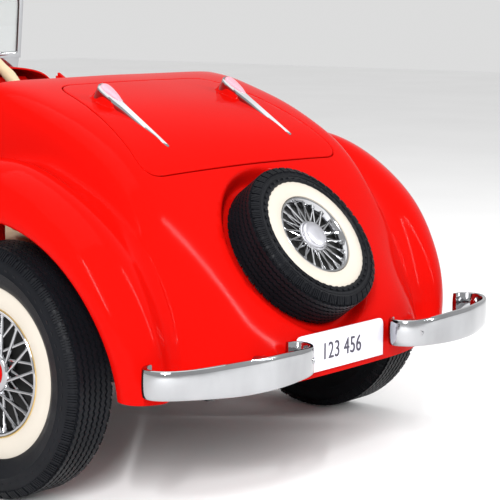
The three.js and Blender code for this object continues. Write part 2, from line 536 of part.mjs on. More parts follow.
// ---------------------------------------------------------------- cockpit, cowl and bonnet
const noseX = WHEELBASE + NOSE_AHEAD;
const bonnetRear = noseX - BONNET_LENGTH;
const cowlFront = bonnetRear - 2;
const cowlRear = cowlFront - COWL_LENGTH;
const hoodWidth = spline([[cowlRear, BODY_HALF_WIDTH - 3], [cowlFront, BODY_HALF_WIDTH - 16],
  [bonnetRear + 140, BODY_HALF_WIDTH - 70], [noseX, 92]]);
const hoodTop = spline([[cowlRear, 443], [cowlFront, 446], [bonnetRear + 140, 436], [noseX, 412]]);
const hoodBottom = spline([[cowlRear, 132], [cowlFront - 60, 136], [cowlFront, 190], [bonnetRear + 100, 250], [noseX, 258]]);
function hoodPoint(x, t) {
  const [w, top, low] = [hoodWidth(x), hoodTop(x), hoodBottom(x)];
  const halfSection = [[w, low], [w, low + (top - low) * 0.35], [w, low + (top - low) * 0.7], [w - 6, top - 34],
    [w - 26, top - 6], [w * 0.5, top + 2]];
  const other = halfSection.map(([y, z]) => [-y, z]).reverse();
  return [x, ...bspline([...halfSection, [0, top + 4], ...other], t)];
}
const hoodSkin = (x0, x1, steps) => skin((i, j) => hoodPoint(x0 + (x1 - x0) * i / steps, j / 24), steps, 24, WALL);
const COLUMN_HOLE = COLUMN_RADIUS + 2;
add("cowl", hoodSkin(cowlRear, cowlFront, 4), red);
add("bonnet", hoodSkin(bonnetRear, noseX, 7), red);
const dashX = cowlRear + 22;
const dashHalf = BODY_HALF_WIDTH - 26;
const dashOutline = [[-dashHalf, 330], [dashHalf, 330], [dashHalf, 405], [dashHalf - 22, 430], [22 - dashHalf, 430], [-dashHalf, 405]];
const dashShape = new THREE.Shape(dashOutline.map(([y, z]) => new THREE.Vector2(y, z)));
const dash = new THREE.ExtrudeGeometry(dashShape, { depth: 5, bevelEnabled: false })
  .applyMatrix4(new THREE.Matrix4().makeBasis(new THREE.Vector3(0, 1, 0), new THREE.Vector3(0, 0, 1), new THREE.Vector3(1, 0, 0)))
  .translate(dashX, 0, 0);
add("dashboard", cut(dash, rod(COLUMN.low, COLUMN.high, COLUMN_HOLE, 16)), red);

const doorFront = cowlRear - 2;
const SIDE_INNER = BODY_HALF_WIDTH - 13;
const SIDE_OUTER = BODY_HALF_WIDTH - 9;
const doorTop = (x) => 442 - 46 * smoothstep((x - 100) / 130) + 40 * smoothstep((x - doorFront + 80) / 90);
const topLine = (x0, x1, drop, steps) => Array.from({ length: steps + 1 }, (_, k) => {
  const x = x0 + (x1 - x0) * k / steps;
  return [x, doorTop(x) - drop];
});
// Clear of the rear fender's crown, so that the door swings out over it.
const alongFender = (grow) => [2, 16, 30, 44, 58].map((angle) => {
  const r = rails.crown(angle) + 11 + grow;
  return [r * Math.cos(rad(angle)), TYRE_RADIUS + r * Math.sin(rad(angle))];
});
const rearEdge = (grow) => [[92 + grow, 368 + grow], [116 + grow, doorTop(116) - grow]];
const doorOutline = [[doorFront, 150], ...topLine(116, doorFront, 0, 7).reverse(), rearEdge(0)[0],
  ...alongFender(0).reverse()];
const doorHole = [[doorFront - 14, 168], ...alongFender(16), rearEdge(16)[0],
  ...topLine(132, doorFront - 14, 16, 5)];
const sideOutline = [[88, 142], [88, 392], [118, 410], ...topLine(124, cowlRear - 3, 4, 7), [cowlRear - 3, railBottom + 4],
  [118, railBottom + 4]];
addPair("body_side", plateXZ(sideOutline, SIDE_INNER, SIDE_OUTER, [doorHole]), red);
addPair("door", plateXZ(doorOutline, SIDE_OUTER + FIT, BODY_HALF_WIDTH - 3), red);

// ---------------------------------------------------------------- front fenders, running boards
const frontRails = {
  crown: spline([[-18, 186], [0, 197], [30, 212], [60, 222], [90, 227], [120, 230], [145, 240], [162, 256], [174, 274], [183, 288]]),
  arch: spline([[-18, ARCH_RADIUS], [120, ARCH_RADIUS], [150, ARCH_RADIUS + 10], [170, ARCH_RADIUS + 40], [183, 250]]),
};
function frontFenderPoint(angle, t) {
  const crown = frontRails.crown(angle);
  const arch = frontRails.arch(angle);
  const x = WHEELBASE + crown * Math.cos(rad(angle));
  const inner = x < cowlFront ? BODY_HALF_WIDTH + 4 : Math.max(hoodWidth(Math.min(x, noseX)) + 5, 132);
  const outer = WHEEL_Y + 28;
  const section = [[outer - 12, arch + 2], [outer, arch], [outer + 2, arch + 10], [outer, (arch + crown) / 2],
    [outer - 12, crown - 4], [outer - 40, crown + 3], [inner + (outer - inner) * 0.45, crown], [inner + 14, crown - 20], [inner, crown - 36]];
  const [y, r] = bspline(section, t);
  return [WHEELBASE + r * Math.cos(rad(angle)), y, TYRE_RADIUS + r * Math.sin(rad(angle))];
}
addPair("front_fender", skin((i, j) => frontFenderPoint(183 - 201 * i / 14, j / 11), 14, 11, WALL), red);
const boardFront = WHEELBASE - 292;
const boardRear = 206;
addPair("running_board", box(boardRear, boardFront, BODY_HALF_WIDTH - 8, WHEEL_Y + 22, railBottom + 4, railBottom + 16), rubber);

// ---------------------------------------------------------------- grille, lamps, windscreen
function facing(outline, depth, holes = []) {
  const shape = new THREE.Shape(outline);
  shape.holes = holes.map((h) => new THREE.Path(h));
  return new THREE.ExtrudeGeometry(shape, { depth, bevelEnabled: false, curveSegments: 6 })
    .applyMatrix4(new THREE.Matrix4().makeBasis(new THREE.Vector3(0, 1, 0), new THREE.Vector3(0, 0, 1), new THREE.Vector3(1, 0, 0)));
}
function horseshoe(grow) {
  const shape = new THREE.Shape();
  const [w, low, top] = [92 + grow, 178 - grow, 416 + grow];
  shape.moveTo(-w * 0.72, low);
  shape.lineTo(w * 0.72, low);
  shape.quadraticCurveTo(w, low + 60, w, low + 130);
  shape.lineTo(w, top - 50);
  shape.quadraticCurveTo(w, top - 12, w * 0.45, top - 6);
  shape.quadraticCurveTo(w * 0.1, top, 0, top + 6);
  shape.quadraticCurveTo(-w * 0.1, top, -w * 0.45, top - 6);
  shape.quadraticCurveTo(-w, top - 12, -w, top - 50);
  shape.lineTo(-w, low + 130);
  shape.quadraticCurveTo(-w, low + 60, -w * 0.72, low);
  return shape.getPoints(6);
}
const SHELL_DEPTH = 26;
const shellX = noseX + FIT;
add("radiator_shell", moved(facing(horseshoe(4), SHELL_DEPTH, [horseshoe(-8)]), shellX), chrome);
const grilleBack = facing(horseshoe(-8 - FIT), 4);
const bars = Array.from({ length: 9 }, (_, k) => {
  const y = -68 + 17 * k;
  const reach = Math.abs(y) > 60 ? [250, 360] : [200, 386];
  return box(3, 14, y - 2, y + 2, ...reach);
});
add("grille", moved(join(grilleBack, ...bars), shellX + 4), black);
const LAMP = { y: 138, z: 400, x: WHEELBASE + 116, radius: 42 };
const lampShell = turned([[0, -52], [14, -48], [30, -32], [LAMP.radius, -6], [LAMP.radius, 4], [LAMP.radius - 4, 4],
  [LAMP.radius - 4, -4], [27, -28], [0, -44]], 18).rotateZ(-Math.PI / 2);
const lampStalk = rod([-22, 0, -26], [-26, -34, -74], 7, 12);
addPair("headlamp", moved(join(lampShell, lampStalk), LAMP.x, LAMP.y, LAMP.z), chrome);
addPair("headlamp_lens", moved(turned([[0, 0], [LAMP.radius - 4 - FIT, 0], [LAMP.radius - 4 - FIT, 3], [26, 8], [0, 11]], 18)
  .rotateZ(-Math.PI / 2), LAMP.x, LAMP.y, LAMP.z), glass);

function pane(grow) {
  const [w, low, top, c] = [176 + grow, -grow, WINDSCREEN_TOP - 452 - 12 + grow, 26 + grow];
  const shape = new THREE.Shape();
  shape.moveTo(-w, low);
  shape.lineTo(w, low);
  shape.lineTo(w - 8, top - c);
  shape.quadraticCurveTo(w - 10, top, w - 10 - c, top);
  shape.lineTo(-w + 10 + c, top);
  shape.quadraticCurveTo(-w + 10, top, -w + 8, top - c);
  return shape.getPoints(5);
}
const SCREEN_LEAN = 12;
const screenPlace = (g) => g.rotateY(-rad(SCREEN_LEAN)).translate(cowlRear + 48, 0, 463);
const cowlSlab = moved(skin((i, j) => hoodPoint(cowlRear + (cowlFront - cowlRear) * i / 4, j / 24), 4, 24, 60), 0, 0, FIT);
const screenFoot = box(2, 6, -183, 183, -45, -7);
add("windscreen_frame", cut(screenPlace(join(facing(pane(8), 8, [pane(0)]), screenFoot)), cowlSlab), chrome);
add("windscreen_glass", screenPlace(moved(facing(pane(-FIT), 3), 2.5)), glass);

// ---------------------------------------------------------------- seat
const seatShape = box(128, 345, -150, 150, SEAT_Z, SEAT_Z + 36);
add("seat_cushion", seatShape, cream);
const backOutline = [[128, SEAT_Z + 40], [150, SEAT_Z + 40], [122, 424], [100, 430], [96, 420]];
add("seat_back", plateXZ(backOutline, -152, 152), cream);

// ---------------------------------------------------------------- bumpers and plate
function band(points, thickness, z0, z1, steps) {
  const path = new THREE.CatmullRomCurve3(points.map(([x, y]) => new THREE.Vector3(x, y, 0)), false, "centripetal");
  const section = new THREE.Shape();
  const tall = z1 - z0;
  section.moveTo(0, 0);
  section.lineTo(thickness, 3);
  section.lineTo(thickness, tall - 3);
  section.lineTo(0, tall);
  const centre = path.getPoints(steps);
  return skinAlong(centre, section.getPoints(), z0);
}
// A closed outline carried along a level path, its first coordinate square to the path.
function skinAlong(centre, outline, z0) {
  const rings = centre.map((p, i) => {
    const ahead = centre[Math.min(i + 1, centre.length - 1)].clone().sub(centre[Math.max(i - 1, 0)]).normalize();
    const across = new THREE.Vector3(ahead.y, -ahead.x, 0);
    return outline.map(({ x, y }) => p.clone().addScaledVector(across, x).setZ(z0 + y));
  });
  const corners = [];
  const n = outline.length;
  for (let i = 0; i + 1 < rings.length; i++) for (let j = 0; j < n; j++) {
    const [a, b] = [rings[i], rings[i + 1]];
    const k = (j + 1) % n;
    corners.push(a[j], b[j], b[k], a[j], b[k], a[k]);
  }
  for (let j = 1; j + 1 < n; j++) {
    corners.push(rings[0][0], rings[0][j], rings[0][j + 1]);
    const last = rings[rings.length - 1];
    corners.push(last[0], last[j + 1], last[j]);
  }
  const g = new THREE.BufferGeometry().setFromPoints(corners);
  return signedVolume(g) < 0 ? flipped(g) : g;
}
const bumperLow = BUMPER_TOP - BUMPER_HEIGHT;
const face = -REAR_OVERHANG + BUMPER_THICKNESS;
// Plan of the left bumper's strip, from its outer hooked end to its inner one, as distances
// ahead of its rear face and from the car's middle.
const BUMPER_PLAN = [[70, 280], [67, 291], [56, 297], [42, 292], [24, 268], [12, 238], [3, 204], [0, 170], [1, 132],
  [6, 104], [18, 90], [31, 89], [37, 99]];
const rearBand = band(BUMPER_PLAN.map(([ahead, y]) => [face + ahead, y]), BUMPER_THICKNESS, bumperLow, BUMPER_TOP, 34);
const rearArm = box(face - 1, -200, 118, 150, bumperLow + 8, bumperLow + 18);
addPair("rear_bumper", cut(join(rearBand, rearArm), moved(tailSlab, -FIT, 0, 0)), chrome);
const nose = WHEELBASE + FRONT_OVERHANG - 6;
const frontBand = band([[nose - 14, 284], [nose - 4, 240], [nose, 120], [nose, 0], [nose, -120], [nose - 4, -240], [nose - 14, -284]],
  -6, bumperLow, bumperLow + 34, 24);
add("front_bumper", join(frontBand, ...[1, -1].map((s) => box(frontEnd - 11, nose + 3, s * RAIL_Y - 8, s * RAIL_Y + 8, bumperLow + 6, bumperLow + 16))), chrome);
const plateShape = new THREE.Shape();
plateShape.moveTo(-PLATE_HALF_WIDTH, 0);
plateShape.lineTo(PLATE_HALF_WIDTH, 0);
plateShape.lineTo(PLATE_HALF_WIDTH, PLATE_HEIGHT - 8);
plateShape.quadraticCurveTo(PLATE_HALF_WIDTH, PLATE_HEIGHT, PLATE_HALF_WIDTH - 8, PLATE_HEIGHT);
plateShape.lineTo(-PLATE_HALF_WIDTH + 8, PLATE_HEIGHT);
plateShape.quadraticCurveTo(-PLATE_HALF_WIDTH, PLATE_HEIGHT, -PLATE_HALF_WIDTH, PLATE_HEIGHT - 8);
add("licence_plate", moved(facing(plateShape.getPoints(4), 3), -246, 0, 131), plateWhite);

// ---------------------------------------------------------------- deck ornaments
// Each ornament is a spear whose tip lies on the lid and whose head stands clear of it. Its
// outline is drawn on its own sloping top face: [distance from the head, half width].
const ORNAMENT_Y = 110;
const ORNAMENT_TIP = [-84, ORNAMENT_Y, 379];
const ORNAMENT_LENGTH = 124;
const ORNAMENT_SLOPE = 34.8;      // degrees
const ORNAMENT_DEPTH = 42;        // of the blank, before the lid is cut from it
const SPEAR = [[0, 5], [8, 12], [22, 12.5], [48, 6.5], [84, 4.8], [116, 3], [ORNAMENT_LENGTH, 1]];
const LENS = [[5, 3], [12, 8.5], [22, 9.5], [42, 3.5]];
const LENS_DEPTH = 6;
const ornamentDown = new THREE.Vector3(-Math.cos(rad(ORNAMENT_SLOPE)), 0, -Math.sin(rad(ORNAMENT_SLOPE)));
const ornamentAcross = new THREE.Vector3(0, -1, 0);
const ornamentHead = new THREE.Vector3(...ORNAMENT_TIP).addScaledVector(ornamentDown, -ORNAMENT_LENGTH);
const ornamentFrame = new THREE.Matrix4().makeBasis(ornamentDown, ornamentAcross,
  new THREE.Vector3().crossVectors(ornamentDown, ornamentAcross)).setPosition(ornamentHead);
function arrow(list, depth, top) {
  const outline = [...list, ...list.map(([s, w]) => [s, -w]).reverse()];
  return new THREE.ExtrudeGeometry(new THREE.Shape(outline.map(([s, w]) => new THREE.Vector2(s, w))),
    { depth, bevelEnabled: false }).translate(0, 0, top - depth).applyMatrix4(ornamentFrame);
}
const lidSurface = moved(tailSlab, -FIT, 0, FIT);
const socket = arrow(LENS.map(([s, w]) => [s, w + FIT]), LENS_DEPTH + 10, 10);
addPair("deck_ornament", cut(arrow(SPEAR, ORNAMENT_DEPTH, 0), lidSurface, socket), chrome);
addPair("ornament_lens", arrow(LENS, LENS_DEPTH - FIT, 1), lens);

export default root;
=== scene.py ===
# %% [markdown]
# # A child's pedal car
# A long-tailed roadster for a child: a moulded red body with wide fenders, a spare wheel sunk
# in the tail, chrome bumpers and a boot lid with two chrome spears. The CAD model gives the
# size and the place of every piece and how it moves. It is loaded first and never changed,
# and the finer pieces made here ride on its bodies.

# %% Load the frame
import math
import bpy
import bmesh
import numpy as np
from mathutils import Matrix, Vector
from mathutils.bvhtree import BVHTree


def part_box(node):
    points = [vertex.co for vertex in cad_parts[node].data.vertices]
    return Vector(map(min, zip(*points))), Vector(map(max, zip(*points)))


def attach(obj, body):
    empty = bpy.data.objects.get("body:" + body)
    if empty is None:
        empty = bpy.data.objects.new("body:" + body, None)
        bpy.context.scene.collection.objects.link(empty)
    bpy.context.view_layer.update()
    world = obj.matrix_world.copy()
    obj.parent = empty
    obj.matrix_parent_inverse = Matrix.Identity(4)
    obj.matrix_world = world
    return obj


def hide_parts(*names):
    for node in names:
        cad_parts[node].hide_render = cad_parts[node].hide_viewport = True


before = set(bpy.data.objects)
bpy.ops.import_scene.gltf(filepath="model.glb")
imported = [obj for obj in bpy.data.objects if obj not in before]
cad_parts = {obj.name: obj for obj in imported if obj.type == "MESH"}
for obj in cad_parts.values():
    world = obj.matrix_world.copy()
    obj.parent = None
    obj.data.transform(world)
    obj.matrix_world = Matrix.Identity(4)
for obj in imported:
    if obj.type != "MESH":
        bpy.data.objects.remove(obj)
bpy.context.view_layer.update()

# %% [markdown]
# The shapes are drawn in millimetres from the rear axle, because a body like this one is
# drawn round its wheel arches. One small function turns such a drawing into the frame's
# metres; the axle's own box says where it is.

# %% The car's own frame
axle_low, axle_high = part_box("rear_axle")
ORIGIN = np.array([(axle_low.x + axle_high.x) / 2, 0, 0])


def metres(points):
    return np.asarray(points, float).reshape(-1, 3) * 0.001 + ORIGIN


WHEELBASE = 740
TYRE_RADIUS = 140
WHEEL_Y = 286
BODY_HALF_WIDTH = 216
ARCH_RADIUS = TYRE_RADIUS + 24
WALL = 2.4
print("rear axle at", ORIGIN.round(4))

# %% [markdown]
# The camera stands behind the car and to its left, a little above it, with a long lens. A
# camera is aimed with a rotation made from the direction it looks in, which is plainer than
# three angles.

# %% Camera
TURN, DIP = math.radians(49.14), math.radians(7.89)
looks = Vector((math.cos(TURN) * math.cos(DIP), -math.sin(TURN) * math.cos(DIP), -math.sin(DIP)))
camera_data = bpy.data.cameras.new("camera")
camera_data.lens = 124.33
camera_data.sensor_width = 36
camera_data.shift_x, camera_data.shift_y = 0.0560, -0.0333
camera_data.clip_end = 50
camera = bpy.data.objects.new("camera", camera_data)
camera.location = (-1.7375, 1.535, 0.547)
camera.rotation_euler = looks.to_track_quat("-Z", "Y").to_euler()
bpy.context.scene.collection.objects.link(camera)
bpy.context.scene.camera = camera
print("camera looks along", [round(v, 3) for v in looks])

# %% [markdown]
# ## Tools for smooth shapes
# Body makers draw a few long rails and fair the surface between them. Two curves do that
# here: a natural cubic spline for a rail, which goes through its points, and a B-spline for a
# section, which only leans towards its points and so never ripples.

# %% Rails and sections
def rail(*pairs):
    xs, ys = (np.array(c, float) for c in zip(*pairs))
    n, h = len(xs), np.diff(xs)
    a, b = np.eye(n), np.zeros(n)
    for i in range(1, n - 1):
        a[i, i - 1:i + 2] = h[i - 1], 2 * (h[i - 1] + h[i]), h[i]
        b[i] = 6 * ((ys[i + 1] - ys[i]) / h[i] - (ys[i] - ys[i - 1]) / h[i - 1])
    bend = np.linalg.solve(a, b)

    def at(x):
        x = np.asarray(x, float)
        i = np.clip(np.searchsorted(xs, x) - 1, 0, n - 2)
        p, q = (xs[i + 1] - x) / h[i], (x - xs[i]) / h[i]
        return p * ys[i] + q * ys[i + 1] + ((p**3 - p) * bend[i] + (q**3 - q) * bend[i + 1]) * h[i]**2 / 6

    return at


def leaning(n, t):
    """Weights of n control points of a cubic B-spline with its ends held, for each t."""
    spans = n - 3
    u = np.minimum(np.asarray(t, float).ravel() * spans, spans - 1e-9)[:, None]
    knots = np.clip(np.arange(n + 4) - 3, 0, spans).astype(float)
    b = ((knots[:-1] <= u) & (u < knots[1:])).astype(float)
    for k in range(1, 4):
        up, down = knots[k:-1] - knots[:-k - 1], knots[k + 1:] - knots[1:-k]
        rise = (u - knots[:-k - 1]) / np.where(up > 0, up, 1) * (up > 0)
        fall = (knots[k + 1:] - u) / np.where(down > 0, down, 1) * (down > 0)
        b = rise * b[:, :-1] + fall * b[:, 1:]
    return b


def eased(x):
    t = np.clip(x, 0, 1)
    return t * t * (3 - 2 * t)


print("weights in mid-span:", leaning(7, [0.5]).round(3))

# %% [markdown]
# A shape is a list of points and a list of faces. Grids, turned rings, rods and swept bands
# cover most of a car. `piece` turns one into an object: it merges doubled points, makes the
# faces point outwards, gives a wall its thickness, rounds the edges and hands it to the body
# that it moves with.

# %% Simple shapes
def sheet_of(points, keep=None, wrap=False):
    """Quads over a grid of points, rows by columns. wrap closes each row round."""
    points = np.asarray(points, float)
    rows, cols = points.shape[:2]
    faces = []
    for i in range(rows - 1):
        for j in range(cols if wrap else cols - 1):
            if keep is None or keep(i, j):
                k = (j + 1) % cols
                faces.append((i * cols + j, i * cols + k, (i + 1) * cols + k, (i + 1) * cols + j))
    return points.reshape(-1, 3), faces


def turned(profile, steps=96, closed=True):
    """A profile of (radius, y) turned about the Y axis."""
    profile = list(profile) + ([profile[0]] if closed else [])
    a = np.linspace(0, 2 * math.pi, steps, endpoint=False)
    rows = [np.stack([r * np.sin(a), np.full(steps, float(y)), r * np.cos(a)], -1) for r, y in profile]
    return sheet_of(rows, wrap=True)


def swept(path, section, closed=False, up=(0, 0, 1)):
    """A closed section of (across, along up) carried along a path."""
    path = np.asarray(path, float)
    if closed:
        ahead = np.roll(path, -1, 0) - np.roll(path, 1, 0)
    else:
        ahead = np.gradient(path, axis=0)
    ahead /= np.linalg.norm(ahead, axis=1)[:, None]
    across = np.cross(ahead, up)
    across /= np.linalg.norm(across, axis=1)[:, None]
    upward = np.cross(across, ahead)
    rings = path[:, None] + np.einsum("ni,sj->nsij", across, np.array(section)[:, :1])[..., 0] \
        + np.einsum("ni,sj->nsij", upward, np.array(section)[:, 1:])[..., 0]
    if closed:
        rings = np.concatenate([rings, rings[:1]])
    points, faces = sheet_of(rings, wrap=True)
    if not closed:
        s = len(section)
        faces += [tuple(range(s)), tuple(range(len(points) - s, len(points)))]
    return points, faces


def round_section(radius, sides=10, flat=1.0):
    a = np.linspace(0, 2 * math.pi, sides, endpoint=False)
    return np.stack([radius * np.cos(a), radius * flat * np.sin(a)], -1)


def rod(start, end, radius, sides=10):
    start, end = np.array(start, float), np.array(end, float)
    up = (0, 0, 1) if abs((end - start)[2]) < 0.8 * np.linalg.norm(end - start) else (1, 0, 0)
    return swept([start, (start + end) / 2, end], round_section(radius, sides), up=up)


def slab(x0, x1, y0, y1, z0, z1):
    points = [(x, y, z) for x in (x0, x1) for y in (y0, y1) for z in (z0, z1)]
    return np.array(points, float), [(0, 1, 3, 2), (4, 6, 7, 5), (0, 4, 5, 1), (2, 3, 7, 6), (0, 2, 6, 4),
                                     (1, 5, 7, 3)]


def joined(*shapes):
    points, faces, count = [], [], 0
    for p, f in shapes:
        points.append(np.asarray(p, float))
        faces += [tuple(i + count for i in face) for face in f]
        count += len(p)
    return np.concatenate(points), faces


def placed(shape, matrix):
    """A shape moved by a 4 by 4 matrix, with its faces turned round if that mirrors it."""
    points, faces = shape
    m = np.array(matrix, float)
    moved = np.asarray(points) @ m[:3, :3].T + m[:3, 3]
    if np.linalg.det(m[:3, :3]) < 0:
        faces = [face[::-1] for face in faces]
    return moved, faces


def shifted(shape, x=0, y=0, z=0):
    return placed(shape, Matrix.Translation((x, y, z)))


def mirrored(shape):
    return placed(shape, Matrix.Diagonal((1, -1, 1, 1)))


print("a ring of", len(turned([(10, 0), (12, 0), (12, 2), (10, 2)], 12)[1]), "faces")

# %% From a shape to a finished piece
def mesh_of(name, shape, outwards=True):
    """A mesh in the frame's metres, its doubles merged and its faces out."""
    mesh = bpy.data.meshes.new(name)
    mesh.from_pydata(metres(shape[0]).tolist(), [], [tuple(f) for f in shape[1]])
    bm = bmesh.new()
    bm.from_mesh(mesh)
    bmesh.ops.remove_doubles(bm, verts=bm.verts, dist=2e-6)
    if outwards:
        bmesh.ops.recalc_face_normals(bm, faces=bm.faces)
    bm.to_mesh(mesh)
    bm.free()
    return mesh


def plain(obj):
    """The object with its modifiers turned into mesh."""
    bpy.context.view_layer.update()
    graph = bpy.context.evaluated_depsgraph_get()
    mesh = bpy.data.meshes.new_from_object(obj.evaluated_get(graph), preserve_all_data_layers=True,
                                           depsgraph=graph)
    obj.modifiers.clear()
    obj.data = mesh
    return obj


def piece(name, source, body, finish, stands_for=(), wall=0, soften=0, sharp=38, steps=2):
    """An object from a shape or a mesh, riding on a body. wall and soften are millimetres."""
    mesh = source if isinstance(source, bpy.types.Mesh) else mesh_of(name, source, outwards=not wall)
    obj = bpy.data.objects.new(name, mesh)
    bpy.context.scene.collection.objects.link(obj)
    if wall:
        solid = obj.modifiers.new("wall", "SOLIDIFY")
        solid.thickness = wall * 0.001
        solid.offset = -1
    if soften:
        bevel = obj.modifiers.new("soften", "BEVEL")
        bevel.width = soften * 0.001
        bevel.segments = steps
        bevel.limit_method = "ANGLE"
        bevel.angle_limit = math.radians(32)
        bevel.harden_normals = False
    if obj.modifiers:
        plain(obj)
    obj.data.name = name
    obj.data.shade_smooth()
    obj.data.set_sharp_from_angle(angle=math.radians(sharp))
    if finish is not None:
        obj.data.materials.clear()
        obj.data.materials.append(finish)
    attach(obj, body)
    if stands_for:
        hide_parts(*([stands_for] if isinstance(stands_for, str) else stands_for))
    print(name, len(obj.data.polygons), "faces on", body)
    return obj


def softened_copy(node, body, finish, width=0.8, name=None, steps=2):
    """A machined piece as the CAD has it, with its edges rounded."""
    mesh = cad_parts[node].data.copy()
    bm = bmesh.new()
    bm.from_mesh(mesh)
    bmesh.ops.remove_doubles(bm, verts=bm.verts, dist=1e-5)
    bmesh.ops.dissolve_limit(bm, angle_limit=math.radians(1), verts=bm.verts, edges=bm.edges)
    bm.to_mesh(mesh)
    bm.free()
    return piece(name or node + "_fine", mesh, body, finish, node, soften=width, steps=steps)


print("tools ready")

# %% [markdown]
# ## Three node trees for what repeats
# A wheel repeats its tread and its spokes round an axle, a grille repeats a bar along a row,
# and a chain repeats two links along a loop. Each could be a loop in Python or an Array
# modifier. Geometry Nodes do it best, because the counts and sizes stay open as named inputs
# and one drawing of the pattern serves for every copy. Each tree ends by making the copies
# real and giving them their finish.

# %% Ring, row and loop of copies
def new_tree(name, sockets):
    tree = bpy.data.node_groups.new(name, "GeometryNodeTree")
    tree.is_modifier = True
    tree.interface.new_socket(name="Geometry", in_out="INPUT", socket_type="NodeSocketGeometry")
    for label, kind, default in sockets:
        socket = tree.interface.new_socket(name=label, in_out="INPUT", socket_type="NodeSocket" + kind)
        if default is not None:
            socket.default_value = default
    tree.interface.new_socket(name="Geometry", in_out="OUTPUT", socket_type="NodeSocketGeometry")
    return tree, tree.nodes.new("NodeGroupInput"), tree.nodes.new("NodeGroupOutput")


def math_node(tree, operation, a, b):
    node = tree.nodes.new("ShaderNodeMath")
    node.operation = operation
    for socket, value in zip(node.inputs, (a, b)):
        if hasattr(value, "links"):
            tree.links.new(value, socket)
        else:
            socket.default_value = value
    return node.outputs[0]


def end_tree(tree, given, result, instances):
    real = tree.nodes.new("GeometryNodeRealizeInstances")
    paint = tree.nodes.new("GeometryNodeSetMaterial")
    tree.links.new(instances, real.inputs["Geometry"])
    tree.links.new(real.outputs[0], paint.inputs["Geometry"])
    tree.links.new(given.outputs["Finish"], paint.inputs["Material"])
    tree.links.new(paint.outputs[0], result.inputs["Geometry"])


def copies(tree, given, points, selection=None, pattern="Pattern", rotation=None):
    info = tree.nodes.new("GeometryNodeObjectInfo")
    tree.links.new(given.outputs[pattern], info.inputs["Object"])
    put = tree.nodes.new("GeometryNodeInstanceOnPoints")
    tree.links.new(points, put.inputs["Points"])
    tree.links.new(info.outputs["Geometry"], put.inputs["Instance"])
    if selection is not None:
        tree.links.new(selection, put.inputs["Selection"])
    if rotation is not None:
        tree.links.new(rotation, put.inputs["Rotation"])
    return put.outputs["Instances"]


def ring_tree():
    """Copies turned about the Y axis."""
    tree, given, result = new_tree("ring of copies", [
        ("Pattern", "Object", None), ("Count", "Int", 12), ("Phase", "Float", 0.0),
                                                      ("Finish", "Material", None)])
    points = tree.nodes.new("GeometryNodePoints")
    index = tree.nodes.new("GeometryNodeInputIndex")
    tree.links.new(given.outputs["Count"], points.inputs["Count"])
    share = math_node(tree, "DIVIDE", index.outputs[0], given.outputs["Count"])
    angle = math_node(tree, "MULTIPLY_ADD", share, 2 * math.pi)
    tree.links.new(given.outputs["Phase"], angle.node.inputs[2])
    turn = tree.nodes.new("ShaderNodeCombineXYZ")
    tree.links.new(angle, turn.inputs["Y"])
    end_tree(tree, given, result, copies(tree, given, points.outputs[0], rotation=turn.outputs[0]))
    return tree


def row_tree():
    """Copies in a row, one step apart."""
    tree, given, result = new_tree("row of copies", [
        ("Pattern", "Object", None), ("Count", "Int", 5), ("Step", "Vector", (0.01, 0, 0)),
                                                     ("Finish", "Material", None)])
    points = tree.nodes.new("GeometryNodePoints")
    index = tree.nodes.new("GeometryNodeInputIndex")
    along = tree.nodes.new("ShaderNodeVectorMath")
    along.operation = "SCALE"
    tree.links.new(given.outputs["Count"], points.inputs["Count"])
    tree.links.new(given.outputs["Step"], along.inputs[0])
    tree.links.new(index.outputs[0], along.inputs["Scale"])
    tree.links.new(along.outputs[0], points.inputs["Position"])
    end_tree(tree, given, result, copies(tree, given, points.outputs[0]))
    return tree


def loop_tree():
    """Two patterns by turns along a closed path in the XZ plane."""
    tree, given, result = new_tree("loop of links", [
        ("Pattern", "Object", None), ("Second", "Object", None), ("Count", "Int", 40),
                                                     ("Finish", "Material", None)])
    to_curve = tree.nodes.new("GeometryNodeMeshToCurve")
    points = tree.nodes.new("GeometryNodeCurveToPoints")
    tree.links.new(given.outputs["Geometry"], to_curve.inputs["Mesh"])
    tree.links.new(to_curve.outputs[0], points.inputs["Curve"])
    tree.links.new(given.outputs["Count"], points.inputs["Count"])
    align = tree.nodes.new("FunctionNodeAlignRotationToVector")
    align.axis = "X"
    align.pivot_axis = "Y"
    tree.links.new(points.outputs["Tangent"], align.inputs["Vector"])
    index = tree.nodes.new("GeometryNodeInputIndex")
    odd = math_node(tree, "MODULO", index.outputs[0], 2)
    even = math_node(tree, "SUBTRACT", 1, odd)
    both = tree.nodes.new("GeometryNodeJoinGeometry")
    for pattern, chosen in (("Pattern", even), ("Second", odd)):
        tree.links.new(copies(tree, given, points.outputs["Points"], chosen, pattern, align.outputs[0]),
                       both.inputs[0])
    end_tree(tree, given, result, both.outputs[0])
    return tree


RING, ROW, LOOP = ring_tree(), row_tree(), loop_tree()
print("trees:", RING.name, "|", ROW.name, "|", LOOP.name)

# %% Run a tree and keep what it makes
def pattern_object(name, shape):
    """A pattern in plain millimetres from its own origin, scaled to metres."""
    mesh = bpy.data.meshes.new(name)
    mesh.from_pydata((np.asarray(shape[0], float) * 0.001).tolist(), [], [tuple(f) for f in shape[1]])
    obj = bpy.data.objects.new(name, mesh)
    bpy.context.scene.collection.objects.link(obj)
    return obj


